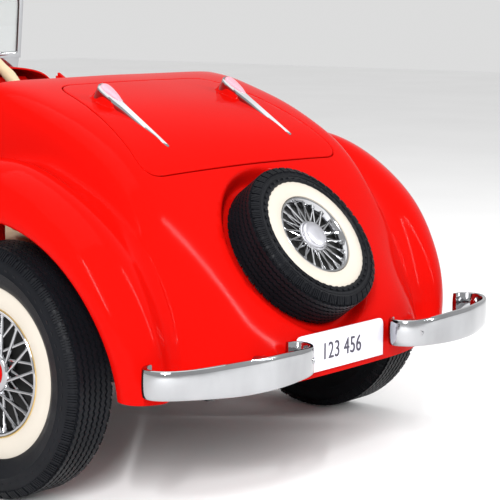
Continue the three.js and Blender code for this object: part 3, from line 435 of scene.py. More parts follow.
def grown(tree, finish, base=None, **inputs):
    """What a tree makes, as a shape in millimetres from its own origin."""
    made = [value for value in inputs.values() if isinstance(value, bpy.types.Object)]
    holder = bpy.data.objects.new("holder", base or bpy.data.meshes.new("holder"))
    bpy.context.scene.collection.objects.link(holder)
    nodes = holder.modifiers.new("copies", "NODES")
    nodes.node_group = tree
    for socket in tree.interface.items_tree:
        if socket.item_type == "SOCKET" and socket.in_out == "INPUT" and socket.name in {*inputs, "Finish"}:
            nodes[socket.identifier] = finish if socket.name == "Finish" else inputs[socket.name]
    mesh = plain(holder).data
    shape = (np.array([v.co for v in mesh.vertices]).reshape(-1, 3) * 1000,
             [tuple(p.vertices) for p in mesh.polygons])
    for obj in (holder, *made):
        bpy.data.objects.remove(obj)
    return shape


print("ready to grow")

# %% [markdown]
# ## Finishes
# Each finish is a small node tree that reads the piece's own coordinates, so it needs no
# picture and never slides. The same few moves give all of them life: a slow noise that
# changes the colour a little, another that changes the shine, and a fine one that lifts the
# surface. Even values go straight on the shader's sockets.

# %% The parts of a finish
def new_finish(name, colour=(0.5, 0.5, 0.5), **values):
    finish = bpy.data.materials.new(name)
    finish.use_nodes = True
    shader = finish.node_tree.nodes["Principled BSDF"]
    shader.inputs["Base Color"].default_value = (*colour, 1)
    for label, value in values.items():
        shader.inputs[label.replace("_", " ")].default_value = value
    finish.diffuse_color = (*colour, 1)
    return finish, shader


def noise(finish, scale, detail=3, stretch=(1, 1, 1)):
    nodes, links = finish.node_tree.nodes, finish.node_tree.links
    place = nodes.new("ShaderNodeTexCoord")
    mapping = nodes.new("ShaderNodeMapping")
    mapping.inputs["Scale"].default_value = stretch
    field = nodes.new("ShaderNodeTexNoise")
    field.inputs["Scale"].default_value = scale
    field.inputs["Detail"].default_value = detail
    links.new(place.outputs["Object"], mapping.inputs["Vector"])
    links.new(mapping.outputs["Vector"], field.inputs["Vector"])
    return field.outputs[0]


def spread(finish, value, low, high, start=0.3, end=0.7):
    node = finish.node_tree.nodes.new("ShaderNodeMapRange")
    for label, number in (("From Min", start), ("From Max", end), ("To Min", low), ("To Max", high)):
        node.inputs[label].default_value = number
    finish.node_tree.links.new(value, node.inputs["Value"])
    return node.outputs["Result"]


def tinted(finish, shader, value, first, second):
    node = finish.node_tree.nodes.new("ShaderNodeMix")
    node.data_type = "RGBA"
    node.inputs["A"].default_value = (*first, 1)
    node.inputs["B"].default_value = (*second, 1)
    finish.node_tree.links.new(value, node.inputs["Factor"])
    finish.node_tree.links.new(node.outputs["Result"], shader.inputs["Base Color"])


def lifted(finish, shader, value, strength, distance):
    node = finish.node_tree.nodes.new("ShaderNodeBump")
    node.inputs["Strength"].default_value = strength
    node.inputs["Distance"].default_value = distance
    finish.node_tree.links.new(value, node.inputs["Height"])
    finish.node_tree.links.new(node.outputs["Normal"], shader.inputs["Normal"])


def roughened(finish, shader, value):
    finish.node_tree.links.new(value, shader.inputs["Roughness"])


print("finish helpers ready")

# %% [markdown]
# ### Red lacquer
# The body is moulded and sprayed a bright warm red, glossy enough to show the studio's strip
# lights as thin pale streaks. Its refractive index is set for the look, at 1.08 where a real
# lacquer has about 1.5: the white room would wash a true one out. A very fine ripple breaks
# the streaks' edges as sprayed paint does.

# %% Red lacquer
def red_lacquer(name="red lacquer"):
    finish, shader = new_finish(name, (0.9, 0.006, 0.003), Specular_IOR_Level=0.5, IOR=1.08)
    tinted(finish, shader, spread(finish, noise(finish, 3.0), 0, 1), (0.5, 0.0036, 0.0021),
           (0.46, 0.003, 0.0018))
    roughened(finish, shader, spread(finish, noise(finish, 18), 0.09, 0.13))
    lifted(finish, shader, noise(finish, 420, 2), 0.012, 0.001)
    return finish


RED = red_lacquer()
print(RED.name)

# %% [markdown]
# ### Bright and satin metal
# The trim is chrome plated. Plated steel is a mirror with a faint haze and slow waves, which
# is what keeps it from looking like glass. Its colour is darkened by a third in slow, upright
# patches, a painted reflection of darker surroundings. The spare's cap and the working parts
# are duller: the same tree with more haze and only a slight change of tone.

# %% Metals
def metal(name, colour, low, high, wave=0.02, scale=60, tone_and_reflection_fade=0.93):
    finish, shader = new_finish(name, colour, Metallic=1.0)
    # The colour darkens in slow patches by the given factor: on chrome a painted reflection, on the duller
    # metals a small change of tone.
    tinted(finish, shader, spread(finish, noise(finish, 13, 4, (1, 1, 0.5)), 0, 1), colour,
           tuple(c * tone_and_reflection_fade for c in colour))
    roughened(finish, shader, spread(finish, noise(finish, scale, 4), low, high))
    lifted(finish, shader, noise(finish, scale * 0.6), wave, 0.002)
    return finish


# Chrome's colour darkens by a third in slow upright patches: a painted reflection of darker surroundings.
CHROME = metal("chrome plate", (0.46, 0.465, 0.48), 0.05, 0.13, wave=0.25, scale=26, tone_and_reflection_fade=0.66)
SATIN = metal("satin alloy", (0.56, 0.56, 0.6), 0.3, 0.4)
STEEL = metal("oiled steel", (0.32, 0.33, 0.35), 0.32, 0.5, wave=0.05, scale=150)
GOLD = metal("gold line", (0.72, 0.52, 0.22), 0.25, 0.35)
print(CHROME.name, SATIN.name, STEEL.name, GOLD.name)

# %% [markdown]
# ### Rubber, cream wall and painted frame
# Tyre rubber is nearly black, with a dry sheen. A faint blue is painted into its colour all
# over, in slow patches: a painted sheen for the bluish light its bulges catch. The wall band
# is a warm ivory moulding with soft mottling. The frame below is black enamel with an
# orange-peel surface, and it is dusty rather than shiny.

# %% Rubber, ivory and enamel
def matt(name, first, second, low, high, grain, strength, sheen=0.0, scale=14, shine=0.4):
    finish, shader = new_finish(name, first, Sheen_Weight=sheen, Specular_IOR_Level=shine)
    tinted(finish, shader, spread(finish, noise(finish, scale, 5), 0, 1), first, second)
    roughened(finish, shader, spread(finish, noise(finish, scale * 3), low, high))
    lifted(finish, shader, noise(finish, grain, 3), strength, 0.0008)
    return finish


# The faint blue in both tyre colours is a painted sheen, not the rubber's own colour.
TYRE_RUBBER = matt("tyre rubber", (0.003, 0.0034, 0.0046), (0.006, 0.0066, 0.0088), 0.36, 0.5, 900, 0.3,
                   shine=0.1)
RUBBER = matt("ribbed rubber", (0.014, 0.014, 0.015), (0.022, 0.022, 0.023), 0.6, 0.75, 1200, 0.3)
IVORY = matt("ivory wall", (0.47, 0.43, 0.37), (0.5, 0.46, 0.4), 0.38, 0.48, 500, 0.05, shine=0.15)
ENAMEL = matt("black enamel", (0.014, 0.014, 0.016), (0.02, 0.02, 0.022), 0.32, 0.45, 700, 0.1)
# Painted shade: a near-black far darker than the black enamel, put behind the spokes and the grille bars
# where their inside is in shade.
SHADE_WELL = matt("painted shade well", (0.002, 0.002, 0.002), (0.004, 0.004, 0.004), 0.6, 0.75, 600, 0.1)
PLATE = matt("plate enamel", (0.68, 0.67, 0.75), (0.73, 0.72, 0.79), 0.3, 0.38, 400, 0.03)
INK = matt("plate ink", (0.035, 0.03, 0.05), (0.05, 0.045, 0.065), 0.45, 0.55, 500, 0.05)
LEATHER = matt("cream leather", (0.56, 0.43, 0.27), (0.63, 0.50, 0.33), 0.42, 0.58, 1500, 0.35, sheen=0.1,
               scale=40)
PIPING = matt("brown piping", (0.20, 0.09, 0.04), (0.26, 0.12, 0.06), 0.45, 0.6, 1500, 0.3)
print(TYRE_RUBBER.name, IVORY.name, ENAMEL.name)

# %% [markdown]
# Leather shows its grain as small cells with creases between them, so its lift comes from a
# cell pattern instead of noise.

# %% Leather grain, lamp glass, pink lens
grain = LEATHER.node_tree.nodes.new("ShaderNodeTexVoronoi")
grain.feature = "DISTANCE_TO_EDGE"
grain.inputs["Scale"].default_value = 420
where = LEATHER.node_tree.nodes.new("ShaderNodeTexCoord")
LEATHER.node_tree.links.new(where.outputs["Object"], grain.inputs["Vector"])
lifted(LEATHER, LEATHER.node_tree.nodes["Principled BSDF"],
       spread(LEATHER, grain.outputs["Distance"], 0, 1, 0.0, 0.12), 0.45, 0.0006)


def clear(name, colour, rough, through):
    finish, shader = new_finish(name, colour, IOR=1.49, Transmission_Weight=through)
    roughened(finish, shader, spread(finish, noise(finish, 30), rough, rough + 0.05))
    lifted(finish, shader, noise(finish, 60), 0.03, 0.001)
    return finish


GLASS = clear("screen glass", (0.93, 0.97, 0.97), 0.01, 0.95)
LAMP_GLASS = clear("lamp glass", (0.95, 0.97, 1.0), 0.05, 0.6)
LENS = clear("pink lens", (0.93, 0.36, 0.44), 0.08, 0.25)
print(LEATHER.name, GLASS.name, LENS.name)

# %% [markdown]
# ## The tail
# The tail and both rear fenders are one moulding, and it is what everyone sees. It could be
# sculpted or built from a subdivided cage, but neither would stay true to the CAD. So it is
# drawn as its makers would draw it. A half plane turns about the rear axle, from the tail's
# lower edge over the deck to the cockpit, and rails give the section's radii at each angle.

# %% Rails of the tail
TAIL = {
    "centre": rail((70, 327), (80, 299), (90, 279), (100, 264), (110, 251), (120, 236), (135, 219),
                   (150, 217), (165, 231), (174, 242), (184, 240)),
    "deck": rail((70, 327), (80, 298), (90, 277), (100, 261), (110, 248), (120, 234), (135, 217),
                 (150, 213), (165, 226), (174, 238), (184, 238)),
    "shoulder": rail((70, 325), (80, 296), (90, 274), (100, 257), (110, 244), (120, 230), (135, 209),
                     (150, 198), (165, 200), (174, 208), (184, 214)),
    "side_top": rail((-4, 192), (20, 197), (45, 214), (70, 306), (80, 278), (90, 256), (100, 240),
                     (110, 229), (120, 217), (135, 203), (150, 195), (165, 196), (184, 203)),
    "valley": rail((-4, 186), (20, 190), (45, 200), (70, 226), (80, 222), (90, 218), (100, 210),
                   (110, 205), (120, 203), (135, 200), (150, 197), (165, 196), (184, 200)),
    "crown": rail((-4, 194), (20, 200), (45, 212), (70, 232), (90, 229), (110, 216), (120, 211),
                  (135, 207), (150, 204), (165, 205), (184, 204)),
    "out": rail((-4, 306), (45, 312), (90, 314), (120, 312), (150, 303), (170, 292), (184, 284)),
}


def tail_section(angle):
    r = {name: curve(angle) for name, curve in TAIL.items()}
    side = BODY_HALF_WIDTH
    half = [(r["out"] - 15, ARCH_RADIUS + 2), (r["out"] - 4, ARCH_RADIUS - 1),
            (r["out"] + 1, ARCH_RADIUS + 8),
            (r["out"] + 1, (ARCH_RADIUS + r["crown"]) / 2), (r["out"] - 6, r["crown"] - 8),
            ((r["out"] + side) / 2, r["crown"] + 4), (side + 22, r["valley"]), (side + 2, r["valley"]),
            (side - 2, (r["valley"] + r["side_top"]) / 2), (side - 4, r["side_top"]),
            (side - 14, r["shoulder"]),
            (side - 60, r["deck"]), (side / 3, r["centre"])]
    half = np.stack([np.stack(np.broadcast_arrays(y, radius + 0 * angle), -1) for y, radius in half], 1)
    middle = np.stack([0 * angle, r["centre"] + 1], -1)[:, None]
    return np.concatenate([half, middle, half[:, ::-1] * [-1, 1]], 1)


def tail_point(angle, t):
    angle, t = np.broadcast_arrays(np.asarray(angle, float), t)
    shape = angle.shape
    y, r = np.einsum("nk,nkc->cn", leaning(27, t), tail_section(angle.ravel()))
    a = np.radians(angle.ravel())
    return np.stack([r * np.cos(a), y, TYRE_RADIUS + r * np.sin(a)], -1).reshape(*shape, 3)


print("top of the deck at", tail_point(90, 0.5).round(1), "mm")

# %% [markdown]
# The spare wheel sits in a round dish pressed into the tail. On the real moulding the wall
# of the dish runs out into the skin with no crease, so it is made by pushing the skin's own
# points along the wheel's axis to a flat floor, with an eased wall. A boolean cut would
# leave a hard rim.

# %% The spare's axis and its dish
SPARE_TILT = math.radians(36.7)
SPARE_RADIUS, SPARE_WIDTH = 92, 52
SPARE_CENTRE = np.array([-209, 0, 279.0])
SPARE_AXIS = np.array([-math.cos(SPARE_TILT), 0, math.sin(SPARE_TILT)])


def sunk(points):
    rel = points - SPARE_CENTRE
    height = rel @ SPARE_AXIS
    away = np.linalg.norm(rel - height[:, None] * SPARE_AXIS, axis=1)
    push = 1 - eased((away - SPARE_RADIUS - 4) / 15)
    push[height < -120] = 0
    return points + (push * (-SPARE_WIDTH - 0.4 - height))[:, None] * SPARE_AXIS


print("dish floor", SPARE_WIDTH + 0.4, "mm behind the wheel's face")

# %% [markdown]
# The skin is sampled finely, and the cells round the dish's wall are split once more so that
# its curve stays round.

# %% The whole skin
def tail_skin(rows=132, forward=48, cols=208):
    angles = np.concatenate([np.linspace(184, 70, rows + 1), np.linspace(70, -4, forward + 1)[1:]])
    points = tail_point(angles[:, None], np.linspace(0, 1, cols + 1)[None])
    edge = cols // 4
    points, faces = sheet_of(points, lambda i, j: i < rows or j < edge or j >= cols - edge)
    bm = bmesh.new()
    verts = [bm.verts.new(p) for p in points]
    for face in faces:
        bm.faces.new([verts[i] for i in face])
    bmesh.ops.delete(bm, geom=[v for v in bm.verts if not v.link_faces], context="VERTS")

    def away(v):
        rel = np.array(v.co) - SPARE_CENTRE
        h = rel @ SPARE_AXIS
        return np.linalg.norm(rel - h * SPARE_AXIS) if h > -120 else 999

    near = {v: away(v) for v in bm.verts}
    wall = [e for e in bm.edges if all(SPARE_RADIUS + 1 < near[v] < SPARE_RADIUS + 25 for v in e.verts)]
    bmesh.ops.subdivide_edges(bm, edges=wall, cuts=1, use_grid_fill=True)
    bm.normal_update()
    for v, p in zip(bm.verts, sunk(np.array([v.co for v in bm.verts]))):
        v.co = p
    bm.normal_update()
    return bm


skin = tail_skin()
print("skin:", len(skin.faces), "faces")

# %% [markdown]
# The boot lid is cut from the same skin, so the two always match. Its outline is a rounded
# trapezoid on a plane square to the deck. The skin is clipped by one side of the outline
# after another, which works because the outline is convex.

# %% The lid's outline
LID_TOP, LID_BOTTOM = np.array([78, 0, 440.0]), np.array([-110, 0, 347.0])
LID_LENGTH = np.linalg.norm(LID_BOTTOM - LID_TOP)
DOWN = (LID_BOTTOM - LID_TOP) / LID_LENGTH


def lid_outline(grow, steps=9):
    a, b, c = 132 + grow, 176 + grow, 30 + grow
    s0, s1 = -grow, LID_LENGTH + grow
    lean = (b - a) / (s1 - s0)
    t = np.linspace(0, 1, steps)[:, None]

    def corner(p, q, r):
        return (1 - t)**2 * p + 2 * t * (1 - t) * q + t**2 * r

    right = np.concatenate([corner(*map(np.array, ((s0, a - c), (s0, a), (s0 + c, a + c * lean)))),
                            corner(*map(np.array, ((s1 - c, b - c * lean), (s1, b), (s1, b - c))))])
    return np.concatenate([right, right[::-1] * [1, -1]])


def sides_of(outline):
    """Each side's start and its outward normal, in the lid's plane."""
    along = np.roll(outline, -1, 0) - outline
    normal = np.stack([-along[:, 1], along[:, 0]], -1) / np.linalg.norm(along, axis=1)[:, None]
    middle = outline.mean(0)
    flip = np.sign(np.einsum("ij,ij->i", normal, outline - middle))
    return outline, normal * flip[:, None]


print("lid", round(LID_LENGTH), "mm long, corners of", len(lid_outline(0)) // 4, "points")

# %% Clip the skin
def clipped(bm, grow, keep_inside):
    starts, normals = sides_of(lid_outline(grow))
    inside = {f for f in bm.faces if f.calc_center_median().z > 300 and abs(f.calc_center_median().y) < 200}
    for start, normal in zip(starts, normals):
        point = Vector(LID_TOP + start[0] * DOWN + np.array([0, start[1], 0]))
        square = Vector(normal[0] * DOWN + np.array([0, normal[1], 0]))
        side = {f: [(v.co - point).dot(square) for v in f.verts] for f in inside}
        crossing = [f for f, d in side.items() if max(d) > 1e-4 and min(d) < -1e-4]
        inside = {f for f, d in side.items() if max(d) <= 1e-4}
        geom = list({x for f in crossing for x in (f, *f.verts, *f.edges)})
        cut = bmesh.ops.bisect_plane(bm, geom=geom, dist=1e-4, plane_co=point, plane_no=square)
        inside |= {f for f in cut["geom"] if isinstance(f, bmesh.types.BMFace)
                   and (f.calc_center_median() - point).dot(square) < 0}
    gone = [f for f in bm.faces if (f in inside) != keep_inside]
    bmesh.ops.delete(bm, geom=gone, context="FACES")
    return bm


lid = clipped(skin.copy(), -1.6, True)
tail = clipped(skin.copy(), 1.6, False)
print("lid", len(lid.faces), "faces, tail", len(tail.faces))

# %% [markdown]
# A pressed or moulded panel never ends in a knife edge. Its rim rolls over a small radius
# and runs down, and the body carries a ledge under the lid. Here the open edge is extruded
# in small steps round that radius, which keeps the skin itself untouched.

# %% Roll the edges of the lid and of its opening
def rolled_rim(bm, grow, steps):
    """Extrudes the edge that lies on the outline. steps are (outward, down) distances."""
    starts, normals = sides_of(lid_outline(grow))
    place = {}

    def reach(co):
        p = np.array([(np.array(co) - LID_TOP) @ DOWN, co[1]])
        d = ((p - starts) * normals).sum(1)
        weight = np.exp((d - d.max()) * 0.6)
        return d.max(), (weight[:, None] * normals).sum(0) / weight.sum()

    edges = []
    for e in bm.edges:
        if e.is_boundary and all(v.co.z > 300 and abs(v.co.y) < 200 and abs(reach(v.co)[0]) < 0.3
                                 for v in e.verts):
            edges.append(e)
    for v in {v for e in edges for v in e.verts}:
        normal = v.normal.copy()
        way = reach(v.co)[1]
        out = Vector(way[0] * DOWN + np.array([0, way[1], 0]))
        out = (out - out.dot(normal) * normal).normalized()
        place[v] = (v.co.copy(), out, normal)
    for outward, down in steps:
        made = bmesh.ops.extrude_edge_only(bm, edges=edges)["geom"]
        new_verts = [v for v in made if isinstance(v, bmesh.types.BMVert)]
        fresh = {}
        for v in new_verts:
            old = next(e.other_vert(v) for e in v.link_edges if e.other_vert(v) in place)
            start, out, normal = place[old]
            v.co = start + out * outward - normal * down
            fresh[v] = place[old]
        edges = [e for e in made if isinstance(e, bmesh.types.BMEdge)]
        place = {**fresh}
    return bm


ROLL = [(math.sin(a), 1 - math.cos(a)) for a in np.radians([22, 45, 68, 90])]
rolled_rim(lid, -1.6, [(0.9 * s, 0.9 * c) for s, c in ROLL] + [(0.9, 2.2)])
rolled_rim(tail, 1.6, [(-0.9 * s, 0.9 * c) for s, c in ROLL] + [(-0.9, 3.4), (-3, 3.8), (-11, 3.8)])
print("rims rolled")

# %% Both panels
def mesh_from(bm, name):
    bmesh.ops.scale(bm, vec=(0.001, 0.001, 0.001), verts=bm.verts)
    bmesh.ops.translate(bm, vec=Vector(ORIGIN), verts=bm.verts)
    mesh = bpy.data.meshes.new(name)
    bm.to_mesh(mesh)
    bm.free()
    return mesh


lid_panel = piece("boot_lid", mesh_from(lid, "boot_lid"), "trunk_lid", RED, "trunk_lid",
                  wall=2.0, sharp=60)
piece("tail_shell", mesh_from(tail, "tail_shell"), "body", RED, "tail_body", wall=WALL, sharp=60)
skin.free()

# %% [markdown]
# ## Deck spears
# Each spear is a chrome casting: a head with a pink lens let into it, and a long tail whose
# two facets meet on a ridge. Its base has to follow the curved lid, so a ray is sent down to
# the lid under each point of the base and the section is built up from there.

# %% The lid as something to stand on
def height_field(obj):
    tree = BVHTree.FromPolygons([v.co[:] for v in obj.data.vertices],
                                [p.vertices[:] for p in obj.data.polygons])

    def at(points, direction):
        hits = []
        for p, d in zip(metres(points), np.broadcast_to(direction, np.shape(points))):
            hit = tree.ray_cast(Vector(p + d * 0.06), Vector(-d))[0]
            hits.append((np.array(hit) if hit else p) - ORIGIN)
        return np.array(hits) * 1000

    return at


on_lid = height_field(lid_panel)
SPEAR_TIP, SPEAR_LENGTH, SPEAR_SLOPE = np.array([-84, 110, 378.2]), 124, math.radians(32.6)
SPEAR_DOWN = np.array([-math.cos(SPEAR_SLOPE), 0, -math.sin(SPEAR_SLOPE)])
SPEAR_UP = np.cross(SPEAR_DOWN, [0, -1, 0])
SPEAR_HEAD = SPEAR_TIP - SPEAR_LENGTH * SPEAR_DOWN
print("lid under the spear's head:", on_lid([SPEAR_HEAD + 20 * SPEAR_DOWN], SPEAR_UP).round(1))

# %% [markdown]
# Seen from above a spear is a long leaf that swells into a rounded head. Its top runs
# straight while the lid falls away, so the head stands clear, on a red pad of its own.

# %% Spears, lenses and their pads
half_width = rail((0, 5.5), (4, 9.5), (10, 11.4), (20, 10.4), (32, 7.8), (44, 5.6), (62, 4.6), (84, 4.0),
                  (106, 3.1), (119, 2.0), (124, 0.5))
EDGE = [(-1.0, -3.2), (-1.04, -2.2), (-1.0, -1.3), (-0.9, -0.9), (-0.45, -0.35), (-0.05, 0.0), (0, 0.05)]
EDGE += [(-a, h) for a, h in EDGE[-2::-1]]


def spear(side):
    s = np.concatenate([[0, 0.6, 1.4, 2.6], np.linspace(4, 54, 26), np.linspace(57, SPEAR_LENGTH, 26)])
    top = SPEAR_HEAD * [1, side, 1] + s[:, None] * SPEAR_DOWN
    rows = []
    for at, line, w in zip(s, top, half_width(s)):
        rise = 1.5 + 1.7 * eased(at / 40) - 1.6 * eased((at - 100) / 24)
        row = np.array([line + [0, a * w, 0] + h * rise * SPEAR_UP for a, h in EDGE])
        under = row[[-1, 0]] - 1.5 * SPEAR_UP
        ground = on_lid(under, SPEAR_UP)
        low = np.minimum((ground - under) @ SPEAR_UP, 0.0)
        reach = np.minimum(-low, 9 + 40 * eased((at - 50) / 20)) + 0.8
        rows.append(np.concatenate([row, under - reach[:, None] * SPEAR_UP]))
    points, faces = sheet_of(rows, wrap=True)
    n = len(rows[0])
    return points, faces + [tuple(range(n)), tuple(range(len(points) - n, len(points)))]


lens_width = rail((2, 4.0), (5, 7.4), (10, 8.8), (18, 7.9), (28, 5.4), (36, 2.8), (41, 0.7))


def lens(side):
    s = np.linspace(2, 41, 28)
    rows = []
    for at, w in zip(s, lens_width(s)):
        a = np.linspace(-1, 1, 15)
        line = SPEAR_HEAD * [1, side, 1] + at * SPEAR_DOWN
        swell = -1.6 + 3.4 * np.sqrt(np.clip(1 - a**2, 0, 1)) * min(1, w / 6)
        rows.append(np.array([line + [0, k * w, 0] for k in a]) + swell[:, None] * SPEAR_UP)
    top = np.array(rows)
    return sheet_of(np.concatenate([top, top[:, ::-1] - 3 * SPEAR_UP], 1), wrap=True)


def pad(side):
    """A low red mound under the spear's head, wide at its foot."""
    rows = []
    a = np.linspace(0, 2 * math.pi, 56, endpoint=False)
    for grow, up in ((1.3, -0.03), (1.18, 0.02), (1.1, 0.1), (1.04, 0.3), (1.0, 0.6), (0.95, 0.82),
                     (0.84, 0.95), (0.4, 1.0), (0.0, 1.0)):
        line = SPEAR_HEAD * [1, side, 1] + (18 + 20 * grow * np.cos(a))[:, None] * SPEAR_DOWN
        roof = line + (11.5 * grow * np.sign(np.sin(a)) * np.abs(np.sin(a))**0.8)[:, None] * [0, 1,
                0] - 5 * SPEAR_UP
        ground = on_lid(roof, SPEAR_UP)
        rows.append(ground + up * (roof - ground))
    return sheet_of(rows, wrap=True)


for side, name in ((1, "left"), (-1, "right")):
    piece(f"spear_{name}", spear(side), "trunk_lid", CHROME, f"deck_ornament_{name}", sharp=28)
    piece(f"spear_lens_{name}", lens(side), "trunk_lid", LENS, f"ornament_lens_{name}", sharp=50)
    piece(f"spear_pad_{name}", pad(side), "trunk_lid", RED, sharp=60)

# %% [markdown]
# ## Road wheels
# A wheel is a black tyre with a wall band, a gold line, a chrome rim, laced spokes over a
# near-black cup of painted shade for the dark inside of the wheel, and a red cap. Everything
# round is turned from a profile. What repeats is the tread and the spokes, so one pitch of
# each is drawn and the ring tree carries it round. One wheel is made about its own axle, and
# the four are placed copies of it.

# %% One pitch of the tread
def zigzag(r0, r1, y, half, wave, pitch, parts=2):
    """A raised rib that shifts sideways in the middle of its pitch."""
    rows = []
    for k in range(parts + 1):
        a = pitch * (k / parts - 0.5)
        shift = wave if k % 2 else -wave
        corners = ((r0, y + shift - half), (r1, y + shift - half * 0.86), (r1, y + shift + half * 0.86),
                   (r0, y + shift + half))
        rows.append([(r * math.sin(a), across, r * math.cos(a)) for r, across in corners])
    return sheet_of(rows, wrap=True)


def lug(inner, outer, width, raise_by, pitch_at):
    """A short bar over the shoulder from (radius, y) to (radius, y)."""
    (r0, y0), (r1, y1) = inner, outer
    square = np.array([y1 - y0, r0 - r1], float)
    square /= np.linalg.norm(square) * (1 if square[0] >= 0 else -1)
    square = np.abs(square) * np.sign([1, y1 if y1 else 1])
    points = []
    for r, y in (inner, outer):
        for lift in (-1.2, raise_by):
            rr, yy = r + square[0] * lift, y + square[1] * lift
            for side in (-1, 1):
                a = pitch_at + side * width / 2 / rr
                points.append((rr * math.sin(a), yy, rr * math.cos(a)))
    faces = [(0, 1, 5, 4), (2, 6, 7, 3), (0, 4, 6, 2), (1, 3, 7, 5), (0, 2, 3, 1), (4, 5, 7, 6)]
    return np.array(points), faces


def tread_pitch(radius, half, count):
    pitch = 2 * math.pi / count
    wave = 0.03 * half
    ribs = [zigzag(radius - 4, radius, k * half * 0.25, half * 0.095, wave, pitch, 4) for k in (-2.5, -1.5,
            -0.5, 0.5, 1.5, 2.5)]
    lugs = []
    for side in (1, -1):
        for k in range(4):
            at = pitch * ((k + 0.5) / 5 - 0.5)
            lugs.append(lug((radius - 1.4, side * half * 0.80), (radius - 9.5, side * half * 0.985),
                            radius * pitch * 0.12, 0.9, at))
        lugs.append(lug((radius - 17, side * half * 0.985), (radius - 23, side * half * 0.94),
                        radius * pitch * 0.30, 0.7, 0))
    return joined(*ribs, *lugs)


print("one pitch:", len(tread_pitch(140, 32, 60)[1]), "faces")

# %% A tyre round its own axle
def carcass(radius, half, hole, band_out, face, steps=110):
    """The black tyre. face is where the wall band lies, along the axle."""
    profile = [(hole, face - 3), (band_out - 1.5, face - 1.2), (band_out - 0.5, face + 0.6),
               (band_out + 1.2, face + 2.6),
               (band_out + (radius - band_out) * 0.22, half * 0.93),
               (band_out + (radius - band_out) * 0.42, half * 0.985),
               (band_out + (radius - band_out) * 0.45, half * 1.01),
               (band_out + (radius - band_out) * 0.48, half * 0.985),
               (radius - 15, half * 0.995), (radius - 9, half * 0.96), (radius - 4.6, half * 0.87),
               (radius - 2.6, half * 0.74),
               (radius - 2.2, half * 0.4), (radius - 2.0, 0)]
    back = [(r, -y) for r, y in profile[4:-1]][::-1] + [(band_out, -half * 0.8), (hole, -half * 0.7)]
    return turned(profile + back, steps)


def tyre(radius, half, hole, band_out, face, count):
    pitch = pattern_object("tread pitch", tread_pitch(radius, half, count))
    return joined(carcass(radius, half, hole, band_out, face),
                  grown(RING, TYRE_RUBBER, Pattern=pitch, Count=count, Phase=0.0))


road_tyre = tyre(TYRE_RADIUS, 32, 84, 97, 22, 58)
spare_tyre = tyre(SPARE_RADIUS, SPARE_WIDTH / 2, 48, 70, SPARE_WIDTH / 2 - 2, 46)
spare_tyre = shifted(spare_tyre, y=-SPARE_WIDTH / 2)
print("road tyre", len(road_tyre[1]), "faces, spare", len(spare_tyre[1]))

# %% [markdown]
# Laced spokes leave the hub's ring at a slant, and a nipple holds each at the rim. The two of
# a pair cross, near the middle on a road wheel and nearer the rim on the spare, which leaves
# the spare's dark windows clearer. A pair with its nipples is one pattern.

# %% Bands, rim and spokes
def ring_band(r0, r1, face, crown, thickness, steps=110):
    middle = (r0 + r1) / 2
    return turned([(r0, face - thickness), (r0, face - 0.4), (r0 + 0.8, face), (middle, face + crown),
                   (r1 - 0.8, face),
                   (r1, face - 0.4), (r1, face - thickness)], steps)


def rim_ring(r_out, r_in, face):
    return turned([(r_out, face - 6), (r_out, face - 0.4), (r_out - 1.2, face + 1.0),
                   (r_out - 3.0, face + 0.8),
                   (r_out - 4.2, face - 0.8), (r_in + 1.6, face - 4.2), (r_in, face - 6.5), (r_in, face - 9)],
                  110)


def crossing_pair(r_hub, r_rim, y_hub, y_rim, at_hub, at_rim, thick):
    """Two spokes that leave the hub apart and meet, or cross, towards the rim."""
    spokes = []
    for way, depth in ((1, 0.9), (-1, -0.9)):
        start = (r_hub * math.sin(-way * at_hub), y_hub + depth, r_hub * math.cos(at_hub))
        end = (r_rim * math.sin(way * at_rim), y_rim + depth * 0.4, r_rim * math.cos(at_rim))
        near = np.array(end) - (np.array(end) - np.array(start)) / np.linalg.norm(np.array(end)
                - np.array(start)) * 6
        spokes += [rod(start, end, thick, 8), rod(near, end, thick * 1.45, 8)]
    return joined(*spokes)


def spokes(count, *sizes):
    pair = pattern_object("spoke pair", crossing_pair(*sizes))
    return grown(RING, CHROME, Pattern=pair, Count=count, Phase=0.0)


road_spokes = spokes(16, 24, 69, 18.5, 16.5, 0.34, 0.15, 1.9)
spare_spokes = spokes(20, 19, 47, -7.6, -6.2, 0.15, 0.03, 1.15)
print("road spokes", len(road_spokes[1]), "faces")

# %% The rest of a wheel
road_wheel = {
    "wall_band": (ring_band(73.4, 97, 22, 1.3, 5), "whitewall", IVORY),
    "gold_line": (ring_band(72.2, 73.6, 22.4, 0.5, 5), "chrome", GOLD),
    "rim": (joined(rim_ring(72.4, 66, 22), road_spokes,
                   turned([(16, 8), (16, 21), (18, 23), (25, 22.4), (27, 20), (27.5, 12), (26, 8)], 64)),
            "chrome", CHROME),
    # painted shade: a near-black cup behind the spokes stands for the dark inside of the wheel
    "well": (turned([(0, 6), (90, 6), (90, -22), (84, -24), (80, 3), (20, 3), (20, -24), (8, -24), (8, 0),
                     (0, 0)], 64, closed=False),
             "black_frame", SHADE_WELL),
    "cap": (turned([(0, 31.5), (6, 31.2), (12, 30), (16, 28), (18.6, 25.5), (19.6, 22.6), (19.6, 20.6),
                    (16, 20.4), (0, 20.4)], 64, closed=False),
            "red_shell", RED),
}
for end, x in (("rear", 0), ("front", WHEELBASE)):
    for side, way in (("left", 1), ("right", -1)):
        body = "rear_axle" if end == "rear" else f"front_wheel_{side}"
        seat = Matrix.Translation((x, way * WHEEL_Y, TYRE_RADIUS)) @ Matrix.Diagonal((1, way, 1, 1))
        piece(f"tyre_{end}_{side}_fine", placed(road_tyre, seat), body, TYRE_RUBBER,
              f"tyre_{end}_{side}", sharp=35)
        for part, (shape, slot, finish) in road_wheel.items():
            replaced = {"rim": f"wheel_{end}_{side}", "cap": f"hub_cap_{end}_{side}"}.get(part, ())
            piece(f"{part}_{end}_{side}", placed(shape, seat), body,
                  finish, replaced)

# %% [markdown]
# ## The spare
# The spare is smaller and fatter, and it leans back with the tail. Its cap is satin, with a
# flat crown and a shoulder, so that it reads as a machined nut beside the bright rim.

